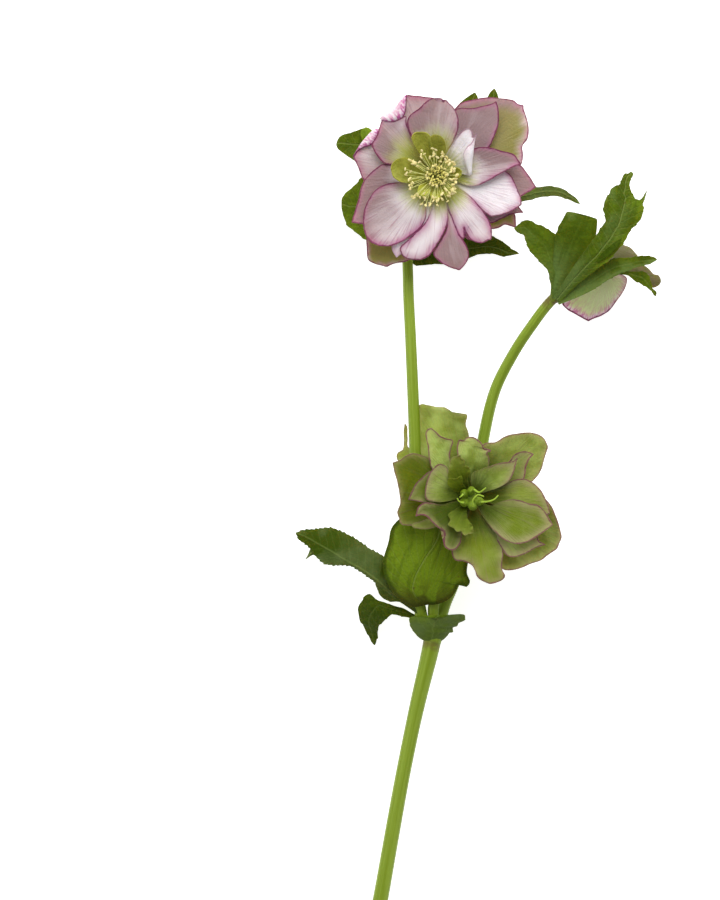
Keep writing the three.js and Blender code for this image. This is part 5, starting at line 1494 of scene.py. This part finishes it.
def stamens(look, centre, count, core, reach, rise, down=False, seed=5):
    """Ripe stamens that lean out round a rosette of unripe anthers. `reach` gives how far
    a stamen leans out at an angle."""
    shell = Shell()
    chance = random.Random(seed)
    sign = -1.0 if down else 1.0

    def at(angle, radius, height):
        place = (math.cos(angle) * radius, math.sin(angle) * radius, sign * (FOOT + height))
        return Vector(place) + Vector(centre)

    dome = [(0, FOOT), (2.2, FOOT), (2.6, FOOT + 0.8), (1.6, FOOT + 1.8), (0, FOOT + 2.2)]
    turned(shell, dome, centre, down, 24, (0.2, 0, 0.8))
    for i in range(count):
        angle = i * GOLDEN_ANGLE + chance.uniform(-0.2, 0.2)
        far = reach(angle) * (0.64 + 0.36 * ((i + 0.5) / count) ** 0.6) * chance.uniform(0.88, 1.08)
        high = rise * chance.uniform(0.82, 1.08) * (1.04 - 0.16 * far / reach(angle))
        bend = angle + chance.uniform(-0.25, 0.25)
        path = [at(angle, 1.7, 0.8), at((angle + bend) / 2, far * 0.5, high * 0.7), at(bend, far, high)]
        tube(shell, path, (look.filament / MM * 1.3, look.filament / MM), 6, 1.2)
        lean = (path[2] - path[1]).normalized()
        out = Vector((chance.uniform(-1, 1), chance.uniform(-1, 1), chance.uniform(-0.4, 0.4)))
        axis = (out + lean * 0.4).normalized()
        size = look.anther / MM * chance.uniform(0.85, 1.25)
        bead(shell, path[2] + lean * 0.4, axis, (size, size * 0.62), (1, chance.random(), 0))
    for i in range(core):
        share = (i + 0.5) / core
        angle = i * GOLDEN_ANGLE + chance.uniform(-0.2, 0.2)
        radius = 4.4 * share ** 0.4
        high = rise * (0.8 + 0.16 * share) - chance.uniform(0, 0.7)
        foot, head = at(angle, min(radius, 1.8), 1), at(angle, radius, high)
        ripe = 0.45 + 0.4 * share
        dark = 0.7 * (1 - share) * chance.random()
        tube(shell, [foot, (foot + head) / 2, head], (0.16, 0.14), 5, 1.6, tone=(0, 0, 0.5))
        turn = Vector((chance.uniform(-1, 1), chance.uniform(-1, 1), 0.6)).normalized()
        bead(shell, head, turn, (1.5, 1.1), (ripe, chance.random() * 0.5, dark))
    return shell


def carpels(centre):
    """Swollen pods with keeled backs and hooked styles."""
    shell = Shell()
    base = Vector(centre) + Vector((0, 0, FOOT))
    turned(shell, [(0, 0), (2.2, 0), (2.6, 0.8), (2.4, 1.8), (0, 2.6)], base, False, 28)
    for foot, lean, style in PODS:
        spine = [base + Vector((*foot, 0.6)), base + Vector((*lean, 3.2)), base + Vector((*lean, 6.2))]
        tube(shell, spine, (0.8, 1.5, 1.8, 1.6, 0.9, 0.5), 24, 0.3, ribs=(2, 0.16))
        hook = [base + Vector(point) for point in style]
        tube(shell, hook, (0.5, 0.34, 0.28, 0.26), 12, 0.3, tone=(0, 0, 1))
    return shell


# ------------------------------------------------------------------ operators


class StemOperator(bpy.types.Operator):
    """Builds the stalk, its branches and their knuckles"""

    bl_idname = "hellebore.stem"
    bl_label = "Stem"

    def execute(self, context):
        shell = stem_shell(context.scene.stem_look)
        shell.piece("stem_skin", stem_finish(context), "stem_green", ["stem"])
        return {"FINISHED"}


LEAVES = {
    "leaf_left": LEAF_LEFT,
    "leaf_back": LEAF_BACK,
    "leaf_hanging": LEAF_HANGING,
    "leaf_collar": LEAF_COLLAR,
    "leaf_round": LEAF_ROUND,
    "bracts_open_left": OPEN_LEFT,
    "bracts_open_right": OPEN_RIGHT,
    "bracts_open_top": OPEN_TOP,
    "bracts_nodding_left": NODDING_LEFT,
    "bract_nodding_long": NODDING_LONG,
    "bracts_nodding_low": NODDING_LOW,
}


class LeavesOperator(bpy.types.Operator):
    """Builds the leaves at the fork and the bracts under the flowers"""

    bl_idname = "hellebore.leaves"
    bl_label = "Leaves and bracts"

    def execute(self, context):
        look = context.scene.leaf_look
        finish = leaf_finish(context)
        for i, (name, forms) in enumerate(LEAVES.items()):
            shell = blades(forms, look.thickness, leaf_pitch=look.vein_pitch / MM, first=101 + 5 * i)
            shell.piece(name + "_blades", finish, "leaf_green", [name])
        return {"FINISHED"}


class OpenFlowerOperator(bpy.types.Operator):
    """Builds the petals of the open flower"""

    bl_idname = "hellebore.open_petals"
    bl_label = "Open flower's petals"

    def execute(self, context):
        shell = whorl(OPEN_PETALS, context.scene.petal_look, OPEN_FLOWER)
        shell.piece("open_petal_blades", pink_finish(context), "petal_pink", ["petals_open"])
        return {"FINISHED"}


class NectariesOperator(bpy.types.Operator):
    """Builds the nectaries of the open flower"""

    bl_idname = "hellebore.nectaries"
    bl_label = "Nectaries"

    def execute(self, context):
        look = context.scene.stamen_look
        base = (OPEN_FLOWER[0], OPEN_FLOWER[1], OPEN_FLOWER[2] + FOOT)
        small = []
        for (x, y, z), pale in RING_NECTARIES:
            out = np.array((x, y)) / math.hypot(x, y)
            across = np.array((-out[1], out[0])) * RING_HALF
            tip, root = np.array((x, y)), out * RING_ROOT
            small.append(
                dict(
                    left=[root + across * 0.35, tip * 0.7 + across, tip * 0.94 + across * 0.6, tip],
                    right=[root - across * 0.35, tip * 0.7 - across, tip * 0.94 - across * 0.6, tip],
                    rise=(0.4, z * 0.7, z), edges=(1.2, 1.2), frill=0.1, crumple=0.1, lines=20, sides=6,
                    tone=(0, 1, pale),
                )
            )
        shell = blades(NECTARIES + small, 0.9 * MM, base, first=60)
        turned(shell, [(0, 0), (3.9, 0), (4.1, 0.5), (3.6, 1), (0, 1)], base)
        finish = fleshy_finish("nectary", look.nectary, tinted(look.nectary, 1.6, 0.03))
        shell.piece("nectary_cups", finish, "nectary_lime", ["nectaries_open"])
        return {"FINISHED"}


class StamensOperator(bpy.types.Operator):
    """Builds the stamens of the open and the nodding flower"""

    bl_idname = "hellebore.stamens"
    bl_label = "Stamens"

    def execute(self, context):
        look = context.scene.stamen_look
        finish = stamen_finish(context)

        def reach(angle):
            return 10.5 - 2.2 * math.cos(angle) - math.sin(angle)

        shell = stamens(look, OPEN_FLOWER, look.count, look.core, reach, 7.6)
        shell.piece("open_anthers", finish, "anther_cream", ["stamens_open"])
        shell = stamens(
            look, NODDING_FLOWER, look.count // 2, look.core // 2, lambda angle: 5.6, 9, down=True
        )
        shell.piece("nodding_anthers", finish, "anther_cream", ["stamens_nodding"])
        return {"FINISHED"}


class GreenFlowerOperator(bpy.types.Operator):
    """Builds the petals of the aged, green flower"""

    bl_idname = "hellebore.green_petals"
    bl_label = "Green flower's petals"

    def execute(self, context):
        shell = whorl(GREEN_PETALS, context.scene.petal_look, GREEN_FLOWER, first=21)
        shell.piece("green_petal_blades", aged_finish(context), "petal_green", ["petals_green"])
        return {"FINISHED"}


class CarpelsOperator(bpy.types.Operator):
    """Builds the seed pods of the green flower"""

    bl_idname = "hellebore.carpels"
    bl_label = "Seed pods"

    def execute(self, context):
        look = context.scene.stamen_look
        finish = fleshy_finish("pod", look.pod, tinted(look.pod, 1.5, 0.02))
        carpels(GREEN_FLOWER).piece("green_pods", finish, "pod_green", ["carpels_green"])
        return {"FINISHED"}


class NoddingFlowerOperator(bpy.types.Operator):
    """Builds the petals of the nodding flower"""

    bl_idname = "hellebore.nodding_petals"
    bl_label = "Nodding flower's petals"

    def execute(self, context):
        look = context.scene.petal_look
        shell = whorl(NODDING_PETALS, look, NODDING_FLOWER, down=True, first=45, disc=0.5)
        shell.piece("nodding_petal_blades", pink_finish(context), "petal_pink", ["petals_nodding"])
        return {"FINISHED"}


# name, place, width, and share of the power that is set
LIGHTS = (("key", (0.2, 1.5, 1.35), 1.5, 0.4), ("side", (-1.3, 0.1, 1.1), 1.6, 0.06))
CAMERA_OVER = (-0.047, 0.0214)  # the point of the floor that the camera stands above


def area_light(name, place, size, power):
    """A soft light that faces the middle of the floor."""
    data = bpy.data.lights.new(name, "AREA")
    data.size = size
    data.energy = power
    made = bpy.data.objects.new(name, data)
    made.location = place
    made.rotation_euler = (-Vector(place)).to_track_quat("-Z", "Y").to_euler()
    bpy.context.scene.collection.objects.link(made)


class StageOperator(bpy.types.Operator):
    """Builds the floor, the lights and the camera"""

    bl_idname = "hellebore.stage"
    bl_label = "Stage"

    def execute(self, context):
        look = context.scene.stage_look
        mesh = bpy.data.meshes.new("floor")
        half = look.floor / 2
        corners = [(-half, -half, 0), (half, -half, 0), (half, half, 0), (-half, half, 0)]
        mesh.from_pydata(corners, [], [(0, 1, 2, 3)])
        paper = Finish("paper", 0.9, soft=0.0, specular=0.1)
        grain = paper.noise(paper.place(), 0.8, 3)
        paper.set(**{"Emission Color": (1, 1, 1, 1), "Emission Strength": 0.75})
        tone = paper.mixed(grain, tinted(look.white, 0.99), look.white)
        mesh.materials.append(paper.finish(tone, grain, 0.00002))
        floor = bpy.data.objects.new("floor", mesh)
        context.scene.collection.objects.link(floor)
        for name, place, size, share in LIGHTS:
            area_light(name, place, size, look.key * share)
        world = bpy.data.worlds.new("sky")
        world.use_nodes = True
        world.node_tree.nodes["Background"].inputs["Color"].default_value = (1, 1, 1, 1)
        world.node_tree.nodes["Background"].inputs["Strength"].default_value = look.fill
        context.scene.world = world
        camera = bpy.data.cameras.new("camera")
        camera.lens = look.lens
        camera.sensor_fit = "VERTICAL"
        camera.sensor_height = 36
        eye = bpy.data.objects.new("camera", camera)
        eye.location = (*CAMERA_OVER, look.distance)
        context.scene.collection.objects.link(eye)
        context.scene.camera = eye
        context.scene.view_settings.view_transform = "Standard"
        return {"FINISHED"}


OPERATORS = (
    StageOperator,
    StemOperator,
    LeavesOperator,
    OpenFlowerOperator,
    NectariesOperator,
    StamensOperator,
    GreenFlowerOperator,
    CarpelsOperator,
    NoddingFlowerOperator,
)


class HelleborePanel(bpy.types.Panel):
    """Lists the operators in the order in which they build the flower stem"""

    bl_idname = "VIEW3D_PT_hellebore"
    bl_label = "Hellebore stem"
    bl_space_type = "VIEW_3D"
    bl_region_type = "UI"
    bl_category = "Hellebore"

    def draw(self, context):
        for operator in OPERATORS:
            self.layout.operator(operator.bl_idname)
        for name in LOOKS:
            look = getattr(context.scene, name)
            box = self.layout.box()
            for part in look.__annotations__:
                box.prop(look, part)


LOOKS = {
    "petal_look": PetalSettings,
    "leaf_look": LeafSettings,
    "stem_look": StemSettings,
    "stamen_look": StamenSettings,
    "stage_look": StageSettings,
}


def register():
    for kind in (*LOOKS.values(), *OPERATORS, HelleborePanel):
        bpy.utils.register_class(kind)
    for name, kind in LOOKS.items():
        setattr(bpy.types.Scene, name, PointerProperty(type=kind))


def unregister():
    for name in LOOKS:
        delattr(bpy.types.Scene, name)
    for kind in (HelleborePanel, *reversed(OPERATORS), *reversed(LOOKS.values())):
        bpy.utils.unregister_class(kind)


def main():
    register()
    bpy.ops.hellebore.stage()
    bpy.ops.hellebore.stem()
    bpy.ops.hellebore.leaves()
    bpy.ops.hellebore.open_petals()
    bpy.ops.hellebore.nectaries()
    bpy.ops.hellebore.stamens()
    bpy.ops.hellebore.green_petals()
    bpy.ops.hellebore.carpels()
    bpy.ops.hellebore.nodding_petals()


if __name__ == "__main__":
    main()
